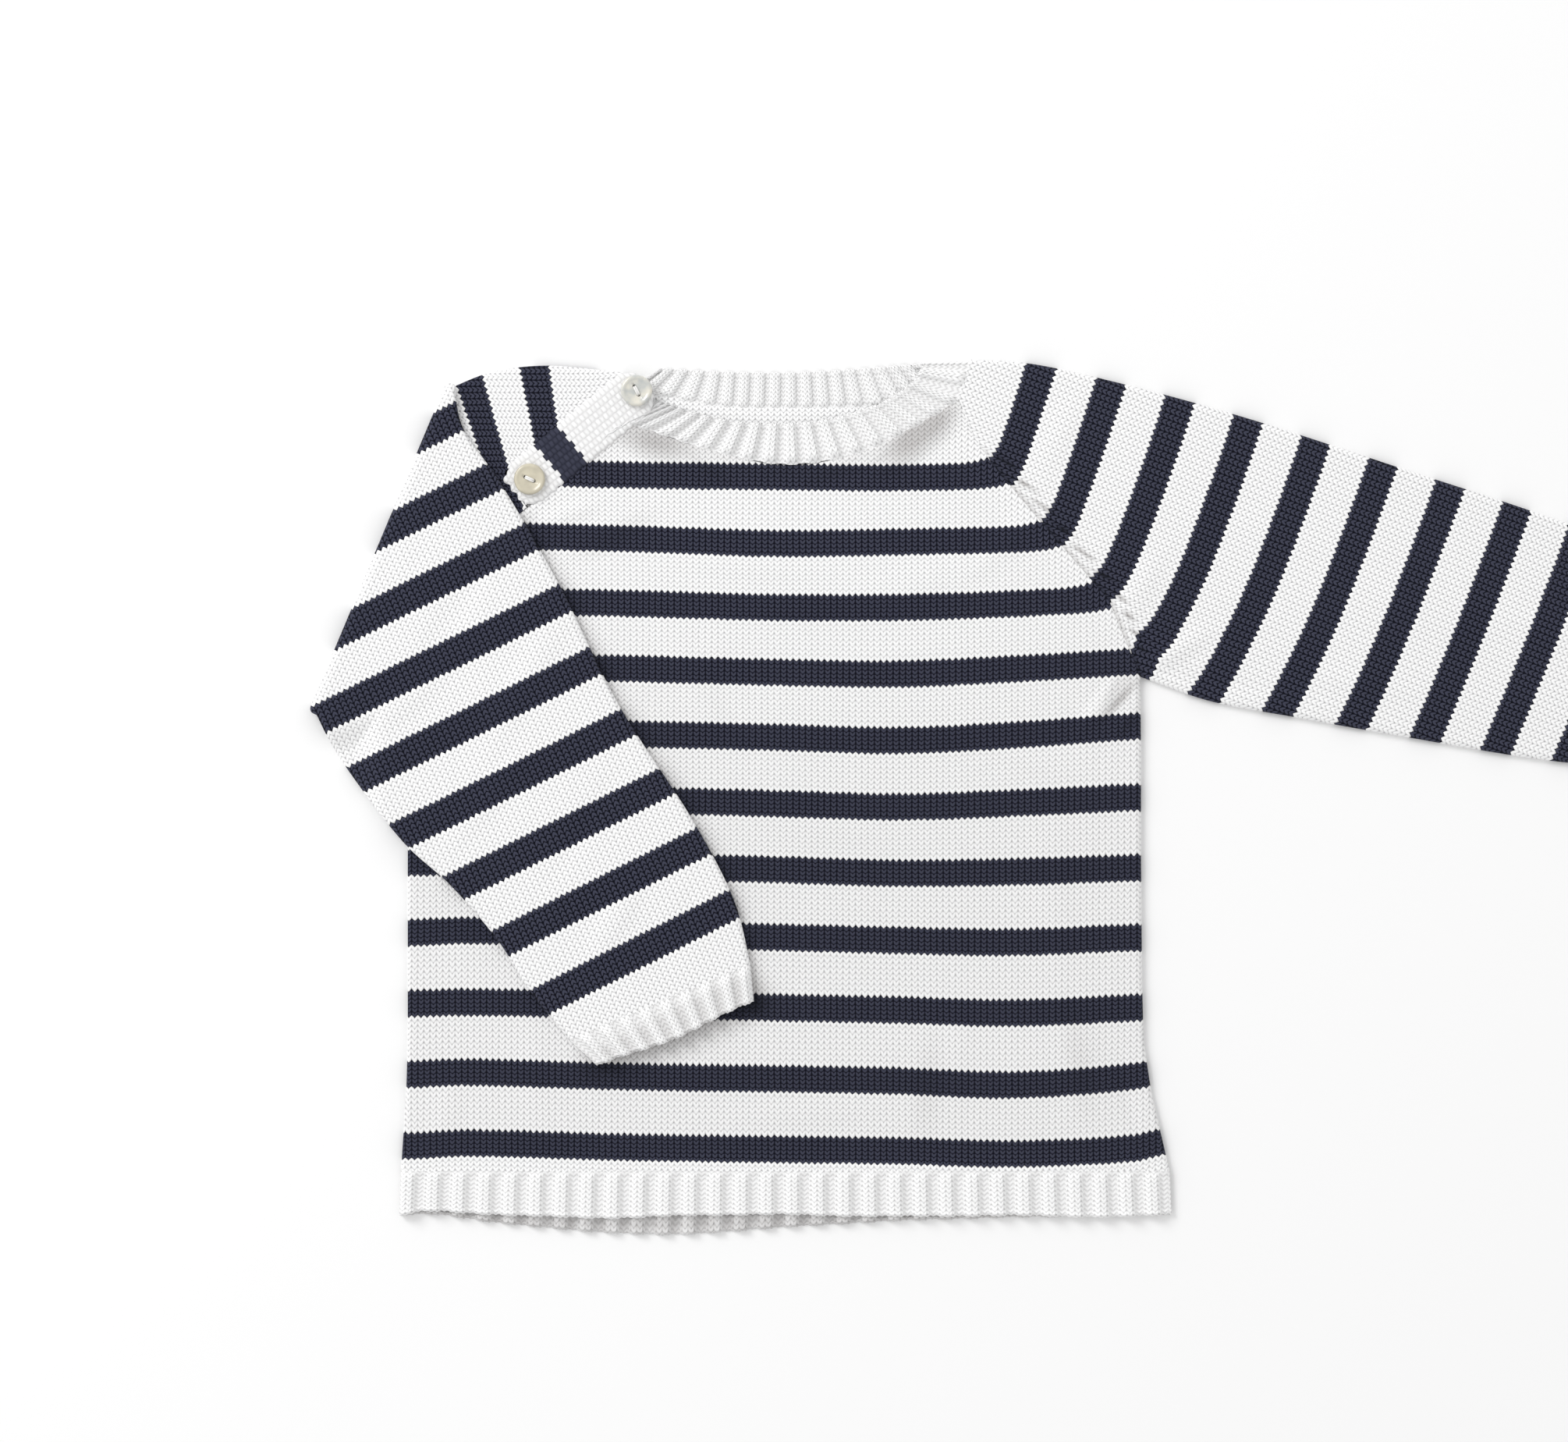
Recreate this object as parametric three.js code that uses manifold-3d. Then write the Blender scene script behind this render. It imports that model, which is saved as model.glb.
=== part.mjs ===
// A child's knitted raglan sweater, laid flat on a table with its left sleeve folded over the front.
// Millimetres. The plan is drawn with X from the centre front, Y up from the front hem and Z up from
// the table, and the finished sweater is then moved so that its box stands on the origin.

import * as THREE from 'three';
import { mergeVertices } from 'three/addons/utils/BufferGeometryUtils.js';
import Module from 'manifold-3d';

const wasm = await Module();
wasm.setup();

// Cloth and seams
const wall = 1.6;
const gap = 0.3;
const halfGap = gap / 2;
const ribValley = 1.5;
const ribRise = 0.5;
const rim = 1.0;

// One rib from valley to valley: the share of its width, and how far it is raised there
const ribProfile = [
  { share: 0.22, up: 0 }, { share: 0.3, up: 1 }, { share: 0.7, up: 1 }, { share: 0.78, up: 0 },
];

// Soft crowns are half sine waves, made fuller towards the edges
const fullness = 0.8;
const dipShape = 1.15;

// Levels above the table of the laid out layers
const frontLevel = wall + gap;
const slab = frontLevel + wall;
const overLevel = slab + gap;

// Body
const hemSeamY = 18;
const frontHemY = 0.6;
const ribsAcrossHem = 30;
const bodyColumns = 20;

// Sleeves and cuffs
const ribsAcrossCuff = 9;
const rightSleeveSteps = 14;
const rightSleeveCrown = 1.2;
const baseSteps = 5;
const foldedSteps = 26;
const foldedCrown = 0.8;
const foldRadius = (overLevel + slab) / 2;
const cuffCrown = 0.6;
const cuffRows = [0, 0.12, 0.9, 1];
const cuffUndersideSteps = 5;
const raglanReach = 1 / 3;
const crownReach = 0.15;
const foldTurns = [0.2, 0.4, 0.6, 0.8];

// Neckband ribs
const ribsOfFrontNeck = 17;
const ribsOfBackNeck = 13;
const shoulderTurns = [0.25, 0.5, 0.75];

// Placket on the left raglan, from its top end to its lower end
const placketTop = new THREE.Vector2(-49, 319.9);
const placketEnd = new THREE.Vector2(-98, 279.3);
const placketWidth = 15.6;
const buttonBandThick = 1.0;
const buttonholeBandThick = 1.2;
const placketSteps = 12;
const placketColumns = 4;

// Buttons
const buttonRadius = 6;
const buttonHoleRadius = 0.75;
const buttonHoleSpacing = 3.5;
const buttonSegments = 32;
const drillSegments = 12;
const drillLength = 8;

// Half the section of a button, from the middle of its back round the rim to its dish
const buttonProfile = [
  { r: 0, z: 0 }, { r: 4.4, z: 0 }, { r: 5.5, z: 0.4 }, { r: buttonRadius, z: 1.1 }, { r: 5.8, z: 1.8 },
  { r: 5.2, z: 2.1 }, { r: 4.5, z: 2 }, { r: 3.9, z: 1.6 }, { r: 0, z: 1.5 },
];

const buttons = [
  { name: 'button_upper', x: -52, y: 317.4, turn: -62, color: 0xdfe0da },
  { name: 'button_lower', x: -93, y: 283.5, turn: -25, color: 0xcfc4a6 },
];

// Front and back sections, from the hem seam up. A dip is how far a section sags between its ends.
const frontSections = [
  { leftX: -142.6, leftY: 18, rightX: 152.6, rightY: 18, dip: 0 },
  { leftX: -141.8, leftY: 30, rightX: 149.8, rightY: 30, dip: 0 },
  { leftX: -140.6, leftY: 48, rightX: 145.6, rightY: 48, dip: 0 },
  { leftX: -140, leftY: 68, rightX: 142.6, rightY: 68, dip: 0 },
  { leftX: -140, leftY: 92, rightX: 142, rightY: 92, dip: 0 },
  { leftX: -140, leftY: 116, rightX: 141.8, rightY: 116, dip: 0 },
  { leftX: -140, leftY: 138, rightX: 141.6, rightY: 138, dip: 0 },
  { leftX: -140, leftY: 160, rightX: 141.6, rightY: 160, dip: 0 },
  { leftX: -140, leftY: 180, rightX: 141.6, rightY: 180, dip: 0 },
  { leftX: -140.3, leftY: 196, rightX: 141.4, rightY: 196, dip: 0 },
  { leftX: -140.5, leftY: 207.6, rightX: 141, rightY: 207.6, dip: 0 },
  { leftX: -135, leftY: 223, rightX: 135, rightY: 223, dip: 0.4 },
  { leftX: -129, leftY: 237, rightX: 129, rightY: 237, dip: 1 },
  { leftX: -118, leftY: 250, rightX: 119, rightY: 249, dip: 2.2 },
  { leftX: -107.2, leftY: 262, rightX: 108, rightY: 261, dip: 4.5 },
  { leftX: -92.7, leftY: 273, rightX: 95.3, rightY: 276, dip: 8.5 },
  { leftX: -80, leftY: 283.5, rightX: 84, rightY: 289.5, dip: 12.5 },
  { leftX: -66, leftY: 295.1, rightX: 76, rightY: 302, dip: 16.8 },
];

const backSections = [
  ...frontSections.slice(0, 15),
  { leftX: -93, leftY: 273, rightX: 95.3, rightY: 276, dip: 2 },
  { leftX: -102.8, leftY: 285.6, rightX: 85, rightY: 287.5, dip: 1.5 },
  { leftX: -82, leftY: 302.5, rightX: 76, rightY: 302, dip: 2.5 },
];

// Soft puffs of the front, raised clear of the back: a long shape along its turn
const frontPuffs = [
  { x: -36, y: 292, length: 26, width: 9, turn: -22, height: 1.5 },
  { x: 57, y: 298, length: 24, width: 8, turn: 38, height: 1.6 },
  { x: 128, y: 199, length: 24, width: 6, turn: 50, height: 1.2 },
  { x: -79, y: 270, length: 18, width: 6, turn: 20, height: 0.9 },
];

// Neck, a row for each place round the band: its free edge, and its seam to the pieces below
const frontNeck = [
  { edgeX: -43.2, edgeY: 315, seamX: -52.6, seamY: 306.3 },
  { edgeX: -31, edgeY: 309.8, seamX: -42, seamY: 300.6 },
  { edgeX: -14, edgeY: 306.2, seamX: -20, seamY: 294 },
  { edgeX: 5, edgeY: 305.3, seamX: 5, seamY: 288.8 },
  { edgeX: 24, edgeY: 307.6, seamX: 30, seamY: 293 },
  { edgeX: 42, edgeY: 313.5, seamX: 53, seamY: 303.6 },
  { edgeX: 53, edgeY: 320.8, seamX: 70, seamY: 315 },
  { edgeX: 57.5, edgeY: 327.6, seamX: 75, seamY: 327.6 },
];

const backNeck = [
  { edgeX: 57.5, edgeY: 327.6, seamX: 75, seamY: 327.6 },
  { edgeX: 49, edgeY: 327.4, seamX: 61, seamY: 313.6 },
  { edgeX: 30, edgeY: 325.8, seamX: 33, seamY: 312.2 },
  { edgeX: 5, edgeY: 324.6, seamX: 5, seamY: 311.7 },
  { edgeX: -20, edgeY: 325, seamX: -22, seamY: 312.6 },
  { edgeX: -43, edgeY: 326.2, seamX: -54, seamY: 319 },
];

// The panels' corners at the neck, and how far along its seam the neckband is sewn to them
const frontNeckEnds = { left: { x: -53, y: 305.5 }, right: { x: 70.4, y: 313.6 }, seamEnd: 0.88 };
const backNeckEnds = { left: { x: -58.7, y: 321.5 }, right: { x: 70.4, y: 315.6 }, seamEnd: 0.85 };
const seamStep = 0.01;

// Right sleeve: where it is sewn on, its upper fold, and its lower fold along the underarm seam
const rightSleeveStart = [
  { x: 76.2, y: 329.6 }, { x: 71.5, y: 315 }, { x: 76.6, y: 302 }, { x: 84.4, y: 289.6 },
  { x: 95.7, y: 276.2 }, { x: 108.4, y: 261.2 }, { x: 129.4, y: 237.2 }, { x: 141.6, y: 207.8 },
];
const rightSleeveUpper = [
  { x: 76.2, y: 329.6 }, { x: 102, y: 327.6 }, { x: 142.8, y: 318.2 }, { x: 186, y: 306 },
  { x: 240, y: 288.4 }, { x: 300, y: 268.6 }, { x: 381, y: 239.5 },
];
const rightSleeveLower = [
  { x: 141.6, y: 207.8 }, { x: 168.3, y: 198.4 }, { x: 202.2, y: 192 }, { x: 238, y: 185.6 },
  { x: 300, y: 175.4 }, { x: 355.5, y: 171.5 },
];
const rightCuffEnd = { upper: { x: 394.4, y: 231.6 }, lower: { x: 371.4, y: 171 } };

// Left sleeve: the same edges, as folded
const leftSleeveStart = [
  { x: -60, y: 325.4 }, { x: -82, y: 303.2 }, { x: -103.8, y: 285.8 }, { x: -94, y: 272.9 },
  { x: -107.6, y: 261.8 }, { x: -129.4, y: 236.8 }, { x: -141.1, y: 207.4 },
];
const foldUpper = { x: -125, y: 321 };
const foldLower = { x: -178, y: 194.5 };
const leftSleeveTop = [{ x: -60, y: 325.4 }, { x: -86, y: 327.3 }, { x: -107, y: 325 }, foldUpper];
const foldedInner = [
  foldUpper, { x: -118.5, y: 303 }, { x: -103.5, y: 281 }, { x: -81.6, y: 243 }, { x: -58.8, y: 197 },
  { x: -31.5, y: 154.5 }, { x: -15, y: 123 }, { x: -8.4, y: 97.5 },
];
const foldedOuter = [
  foldLower, { x: -164.4, y: 174 }, { x: -142, y: 145 }, { x: -123, y: 127.5 }, { x: -105, y: 106.5 },
  { x: -95, y: 90.3 }, { x: -78, y: 68.7 },
];
const leftCuffEnd = { upper: { x: -6.9, y: 83.1 }, lower: { x: -66.9, y: 58.2 } };

// Where the folded sleeve passes the body's side it sinks to the table
const droopStart = 8;
const droopEnd = 20;
const bodySideX = -141;
const sleeveUnderside = { fromX: -178, fromY: 194.5, toX: -141, toY: 207.6 };

// Hem edges. The back one hangs a little lower than the front one.
const backHemEdge = [
  { x: -143.2, y: 0.6 }, { x: -128, y: 0.6 }, { x: -105, y: -2.4 }, { x: -80, y: -5 }, { x: -55, y: -6.6 },
  { x: -36, y: -7 }, { x: -7, y: -5 }, { x: 33, y: -2.4 }, { x: 80, y: -0.6 }, { x: 153, y: 0.6 },
];
const hemLeftX = -143.2;
const hemRightX = 153.4;
const hemSeamLeftX = -142.8;
const hemSeamRightX = 152.8;
const hemUndersideSteps = 10;

// Hem rows from the free edge to the seam: the share of the way, and how thick the cloth is there
const hemRows = [
  { share: 0, squash: 0.35 },
  { share: 0.07, squash: 1 },
  { share: 0.9, squash: 1 },
  { share: 1, squash: 0.8 },
];

const knitWhite = new THREE.MeshStandardMaterial({ color: 0xf3f2ef, roughness: 0.95, metalness: 0 });
const ribWhite = new THREE.MeshStandardMaterial({ color: 0xfaf9f7, roughness: 0.95, metalness: 0 });

const sweater = new THREE.Group();

// Small helpers for the plan

function vec(p) {
  return new THREE.Vector2(p.x, p.y);
}

// A smooth line through hand-placed points, asked for by the share of its length
function smoothLine(points) {
  const curve = new THREE.SplineCurve(points.map(vec));
  return (t) => curve.getPointAt(t);
}

// A line with corners, asked for by the share of its length
function corneredLine(points) {
  const path = new THREE.CurvePath();
  for (let i = 1; i < points.length; i += 1) {
    path.add(new THREE.LineCurve(vec(points[i - 1]), vec(points[i])));
  }
  return (t) => path.getPoint(t);
}

// Shares of a cornered line that fall on its corners, with extra ones between
function cornerShares(points, between) {
  const reach = [0];
  for (let i = 1; i < points.length; i += 1) {
    reach.push(reach[i - 1] + vec(points[i - 1]).distanceTo(vec(points[i])));
  }
  const shares = [0];
  for (let i = 1; i < points.length; i += 1) {
    for (let k = 1; k <= between; k += 1) {
      shares.push(THREE.MathUtils.lerp(reach[i - 1], reach[i], k / between) / reach.at(-1));
    }
  }
  return shares;
}

function straight(from, to) {
  return (t) => vec(from).lerp(vec(to), t);
}

function steps(count) {
  return Array.from({ length: count + 1 }, (_, i) => i / count);
}

function smoothStep(low, high, value) {
  return THREE.MathUtils.smoothstep(value, low, high);
}

// Shares across a 2 by 2 rib, with the raised half of each rib in its middle
function ribShares(ribs) {
  const shares = [{ u: 0, up: 0 }];
  for (let i = 0; i < ribs; i += 1) {
    for (const { share, up } of ribProfile) {
      shares.push({ u: (i + share) / ribs, up });
    }
  }
  shares.push({ u: 1, up: 0 });
  return shares;
}

// Builders. Each ring is a list of points round a section, and rings have equal counts.

function stitch(index, a, b, count) {
  for (let i = 0; i < count; i += 1) {
    const j = (i + 1) % count;
    index.push(a + i, a + j, b + j, a + i, b + j, b + i);
  }
}

function signedVolume(points, index) {
  let sum = 0;
  for (let i = 0; i < index.length; i += 3) {
    const [a, b, c] = [points[index[i]], points[index[i + 1]], points[index[i + 2]]];
    sum += a.dot(b.clone().cross(c)) / 6;
  }
  return sum;
}

function meshOf(name, points, index, material) {
  if (signedVolume(points, index) < 0) {
    for (let i = 0; i < index.length; i += 3) {
      [index[i], index[i + 1]] = [index[i + 1], index[i]];
    }
  }
  const geometry = new THREE.BufferGeometry().setFromPoints(points);
  geometry.setIndex(index);
  geometry.computeVertexNormals();
  const mesh = new THREE.Mesh(geometry, material);
  mesh.name = name;
  sweater.add(mesh);
  return mesh;
}

// The faces that fill a section. Its outline runs over the upper face to the far edge and back under it,
// and `along` says how far each point lies along the section.
function capFaces({ points, along, farEdge }) {
  const count = points.length;
  const faces = [];
  let over = 0;
  let under = count;
  while (over < farEdge || under > farEdge) {
    const stepOver = under === farEdge || (over < farEdge && along[over + 1] <= along[under - 1]);
    const next = stepOver ? over + 1 : under - 1;
    if (over !== under % count && next !== under % count && next !== over) {
      faces.push([over, next, under % count]);
    }
    over = stepOver ? next : over;
    under = stepOver ? under : next;
  }
  return faces;
}

// A solid slab through its sections, with closed ends
function sweepSlab(name, sections, material) {
  const count = sections[0].points.length;
  const points = sections.flatMap((section) => section.points);
  const index = [];
  for (let s = 1; s < sections.length; s += 1) {
    stitch(index, (s - 1) * count, s * count, count);
  }
  const last = (sections.length - 1) * count;
  for (const [a, b, c] of capFaces(sections[0])) {
    index.push(b, a, c);
  }
  for (const [a, b, c] of capFaces(sections.at(-1))) {
    index.push(last + a, last + b, last + c);
  }
  return meshOf(name, points, index, material);
}

// An open tube wall: outer rings, then inner rings back to the start
function sweepTube(name, outer, inner, material) {
  const rings = [...outer, ...inner.slice().reverse()];
  const count = rings[0].length;
  const points = rings.flat();
  const index = [];
  for (let s = 0; s < rings.length; s += 1) {
    stitch(index, s * count, ((s + 1) % rings.length) * count, count);
  }
  return meshOf(name, points, index, material);
}

// One section of a flat wall: `at` gives the plan point at a share, `low` and `high` the two faces.
// Its ends are rounded to half height over the rim.
function wallSection({ at, upper, lower, low, high, squash = 1 }) {
  const from = at(0);
  const to = at(1);
  const inset = rim / Math.max(from.distanceTo(to), rim * 3);
  const keep = (u) => Math.min(Math.max(u, inset), 1 - inset);
  const points = [];
  const along = [];
  const put = (plan, z, u) => {
    points.push(new THREE.Vector3(plan.x, plan.y, z));
    along.push(u);
  };
  const face = (u, share, extra) => {
    const plan = at(keep(u));
    const bottom = low(plan);
    const top = high(plan, extra);
    const middle = (bottom + top) / 2;
    put(plan, middle + (share === 1 ? top - middle : bottom - middle) * squash, keep(u));
  };
  const edge = (u) => {
    const plan = at(u);
    put(plan, (low(plan) + high(plan, 0)) / 2, u);
  };
  edge(0);
  for (const { u, up } of upper) {
    face(u, 1, up);
  }
  edge(1);
  for (const { u } of lower.slice().reverse()) {
    face(u, 0, 0);
  }
  return { points, along, farEdge: upper.length + 1 };
}

const plain = (count) => steps(count).map((u) => ({ u, up: 0 }));

// Body panels

function puffHeight(plan) {
  let height = 0;
  for (const puff of frontPuffs) {
    const away = plan.clone().sub(vec(puff));
    away.rotateAround(new THREE.Vector2(), -THREE.MathUtils.degToRad(puff.turn));
    const distance = Math.hypot(away.x / puff.length, away.y / puff.width);
    height += puff.height * (1 - smoothStep(0, 1, distance));
  }
  return height;
}

function sectionLine(row, inset) {
  const from = new THREE.Vector2(row.leftX + inset, row.leftY);
  const to = new THREE.Vector2(row.rightX - inset, row.rightY);
  return (u) => {
    const point = from.clone().lerp(to, u);
    point.y -= row.dip * Math.sin(Math.PI * u) ** dipShape;
    return point;
  };
}

// A panel's neck edge, a gap below the neckband's seam, from corner to corner
function neckEdge(rows, { left, right, seamEnd }) {
  const seam = smoothLine(rows.map((row) => ({ x: row.seamX, y: row.seamY })));
  const below = steps(bodyColumns).map((share) => {
    const t = share * seamEnd;
    const along = seam(Math.min(t + seamStep, 1)).sub(seam(Math.max(t - seamStep, 0))).normalize();
    return seam(t).addScaledVector(new THREE.Vector2(along.y, -along.x), gap);
  });
  return corneredLine([left, ...below, right]);
}

function bodyPanel(name, rows, neck, base, puff) {
  const lines = rows.map((row) => sectionLine(row, halfGap));
  const hem = lines[0];
  lines[0] = (u) => hem(u).add(new THREE.Vector2(0, halfGap));
  const low = (plan) => base + puff(plan);
  const high = (plan) => base + wall + puff(plan);
  const sections = [...lines, neck].map((at) => (
    wallSection({ at, upper: plain(bodyColumns), lower: plain(bodyColumns), low, high })
  ));
  return sweepSlab(name, sections, knitWhite);
}

bodyPanel('back', backSections, neckEdge(backNeck.slice().reverse(), backNeckEnds), 0, () => 0);
bodyPanel('front', frontSections, neckEdge(frontNeck, frontNeckEnds), frontLevel, puffHeight);

// Hem ribs: rows from the free edge up to the seam

function hemRib(name, edge, base, valley) {
  const seamY = hemSeamY - halfGap;
  const seam = straight({ x: hemSeamLeftX, y: seamY }, { x: hemSeamRightX, y: seamY });
  const sections = hemRows.map(({ share, squash }) => wallSection({
    at: (u) => edge(u).lerp(seam(u), share),
    upper: ribShares(ribsAcrossHem),
    lower: plain(hemUndersideSteps),
    low: () => base,
    high: (plan, up) => base + valley + ribRise * up,
    squash,
  }));
  return sweepSlab(name, sections, ribWhite);
}

const frontHemEdge = straight({ x: hemLeftX, y: frontHemY }, { x: hemRightX, y: frontHemY });
hemRib('front_hem_rib', frontHemEdge, frontLevel, ribValley);
hemRib('back_hem_rib', smoothLine(backHemEdge), 0, wall - ribRise);

// Right sleeve: a flattened tube, its two layers joined at the upper and lower folds

function tubeRing(at, { low, high, upper, lower, wallIn, crown }) {
  const outerPoints = [];
  const from = at(0);
  const length = from.distanceTo(at(1));
  const inset = (rim + wallIn) / length;
  const side = wallIn / length;
  const middle = (low + high) / 2;
  const keep = (u) => Math.min(Math.max(u, inset), 1 - inset);
  const lift = (u) => crown * Math.sin(Math.PI * u) ** fullness;
  const put = (u, z) => {
    const plan = at(u);
    outerPoints.push(new THREE.Vector3(plan.x, plan.y, z));
  };
  put(side, middle);
  for (const { u, up } of upper) {
    put(keep(u), high + up + lift(u));
  }
  put(1 - side, middle);
  for (const { u } of lower.slice().reverse()) {
    put(keep(u), low);
  }
  return outerPoints;
}

function flattenedTube(name, lines, { upper, lower, crown, rise = 0, material }) {
  const raised = upper.map(({ u, up }) => ({ u, up: up * rise }));
  const level = upper.map(({ u }) => ({ u, up: 0 }));
  const outer = lines.map((at) => tubeRing(at, {
    low: 0, high: slab, upper: raised, lower, wallIn: 0, crown,
  }));
  const inner = lines.map((at) => tubeRing(at, {
    low: wall, high: frontLevel, upper: level, lower, wallIn: wall, crown,
  }));
  return sweepTube(name, outer, inner, material);
}

function blendLines(start, upperEdge, lowerEdge, count) {
  const straightStart = straight(upperEdge(0), lowerEdge(0));
  return steps(count).map((s) => {
    const across = straight(upperEdge(s), lowerEdge(s));
    const bend = Math.max(0, 1 - s / raglanReach);
    return (w) => across(w).add(start(w).sub(straightStart(w)).multiplyScalar(bend));
  });
}

const rightSeam = { upper: rightSleeveUpper.at(-1), lower: rightSleeveLower.at(-1) };
const rightLines = blendLines(
  corneredLine(rightSleeveStart),
  smoothLine(rightSleeveUpper),
  smoothLine(rightSleeveLower),
  rightSleeveSteps,
);
const rightColumns = cornerShares(rightSleeveStart, 1).map((u) => ({ u, up: 0 }));
flattenedTube('right_sleeve', rightLines, {
  upper: rightColumns, lower: rightColumns, crown: rightSleeveCrown, material: knitWhite,
});

// Cuffs: short ribbed tubes

function cuffLines(seam, end) {
  const start = { upper: vec(seam.upper), lower: vec(seam.lower) };
  const along = vec(end.upper).add(vec(end.lower)).sub(start.upper.clone().add(start.lower)).normalize();
  const upperEdge = straight(start.upper.clone().addScaledVector(along, gap), end.upper);
  const lowerEdge = straight(start.lower.clone().addScaledVector(along, gap), end.lower);
  return cuffRows.map((s) => straight(upperEdge(s), lowerEdge(s)));
}

const cuffShares = { upper: ribShares(ribsAcrossCuff), lower: plain(cuffUndersideSteps) };
flattenedTube('right_cuff', cuffLines(rightSeam, rightCuffEnd), {
  ...cuffShares, crown: cuffCrown, rise: ribRise, material: ribWhite,
});

// Left sleeve: one slab from the raglan to the fold, round it, and back over the front

function droop(plan) {
  const fromSide = bodySideX - plan.x;
  const edgeFrom = new THREE.Vector2(sleeveUnderside.fromX, sleeveUnderside.fromY);
  const edgeTo = new THREE.Vector2(sleeveUnderside.toX, sleeveUnderside.toY);
  const along = edgeTo.clone().sub(edgeFrom).normalize();
  const fromSleeve = -along.cross(plan.clone().sub(edgeFrom));
  const outside = Math.min(fromSide, fromSleeve);
  return overLevel * (1 - smoothStep(droopStart, droopEnd, outside));
}

const leftColumns = cornerShares(leftSleeveStart, 2);

// A section across the sleeve. `over` is the face that ends up inside the fold, `under` the other.
function sleeveSection(at, over, under) {
  const length = at(0).distanceTo(at(1));
  const inset = rim / length;
  const points = [];
  const along = [];
  const put = (u, face) => {
    points.push(face(at(u), u));
    along.push(u);
  };
  const halfway = (plan, u) => over(plan, u).lerp(under(plan, u), 0.5);
  const shares = leftColumns.map((u) => Math.min(Math.max(u, inset), 1 - inset));
  put(0, halfway);
  for (const u of shares) {
    put(u, over);
  }
  put(1, halfway);
  for (const u of shares.slice().reverse()) {
    put(u, under);
  }
  return { points, along, farEdge: shares.length + 1 };
}

function leftSleeve() {
  const foldFrom = vec(foldUpper);
  const foldTo = vec(foldLower);
  const alongFold = foldTo.clone().sub(foldFrom).normalize();
  const outward = new THREE.Vector2(alongFold.y, -alongFold.x);
  const axisFrom = foldFrom.clone().addScaledVector(outward, -foldRadius);
  const axisTo = foldTo.clone().addScaledVector(outward, -foldRadius);
  const axis = straight(axisFrom, axisTo);

  const sections = [];
  const flatFace = (z) => (plan) => new THREE.Vector3(plan.x, plan.y, z);
  const start = corneredLine(leftSleeveStart);
  const upperEdge = smoothLine([...leftSleeveTop.slice(0, -1), axisFrom]);
  const lowerEdge = straight(leftSleeveStart.at(-1), axisTo);
  const straightStart = straight(upperEdge(0), lowerEdge(0));
  for (const s of steps(baseSteps)) {
    const across = straight(upperEdge(s), lowerEdge(s));
    const at = (w) => across(w).add(start(w).sub(straightStart(w)).multiplyScalar(1 - s));
    sections.push(sleeveSection(at, flatFace(slab), flatFace(0)));
  }

  // The turn of the fold, a half circle about its axis
  const turned = (radius, angle) => (plan) => new THREE.Vector3(
    plan.x + outward.x * radius * Math.sin(angle),
    plan.y + outward.y * radius * Math.sin(angle),
    foldRadius - radius * Math.cos(angle),
  );
  for (const share of foldTurns) {
    const angle = Math.PI * share;
    sections.push(sleeveSection(axis, turned(halfGap, angle), turned(foldRadius, angle)));
  }

  // Back over the front and down to the cuff
  const inner = smoothLine([axisFrom, ...foldedInner.slice(1)]);
  const outer = smoothLine([axisTo, ...foldedOuter.slice(1)]);
  for (const s of steps(foldedSteps)) {
    const at = straight(inner(s), outer(s));
    const low = (plan) => new THREE.Vector3(plan.x, plan.y, droop(plan));
    const grow = smoothStep(0, crownReach, s) * foldedCrown;
    const high = (plan, u) => new THREE.Vector3(
      plan.x, plan.y, droop(plan) + slab + grow * Math.sin(Math.PI * u) ** fullness,
    );
    sections.push(sleeveSection(at, low, high));
  }
  return sweepSlab('left_sleeve', sections, knitWhite);
}

leftSleeve();

const leftSeam = { upper: foldedInner.at(-1), lower: foldedOuter.at(-1) };
const leftCuff = flattenedTube('left_cuff', cuffLines(leftSeam, leftCuffEnd), {
  ...cuffShares, crown: cuffCrown, rise: ribRise, material: ribWhite,
});
leftCuff.position.z = overLevel;

// Neckband: the front half above, round the right shoulder, and the back half below

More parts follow.
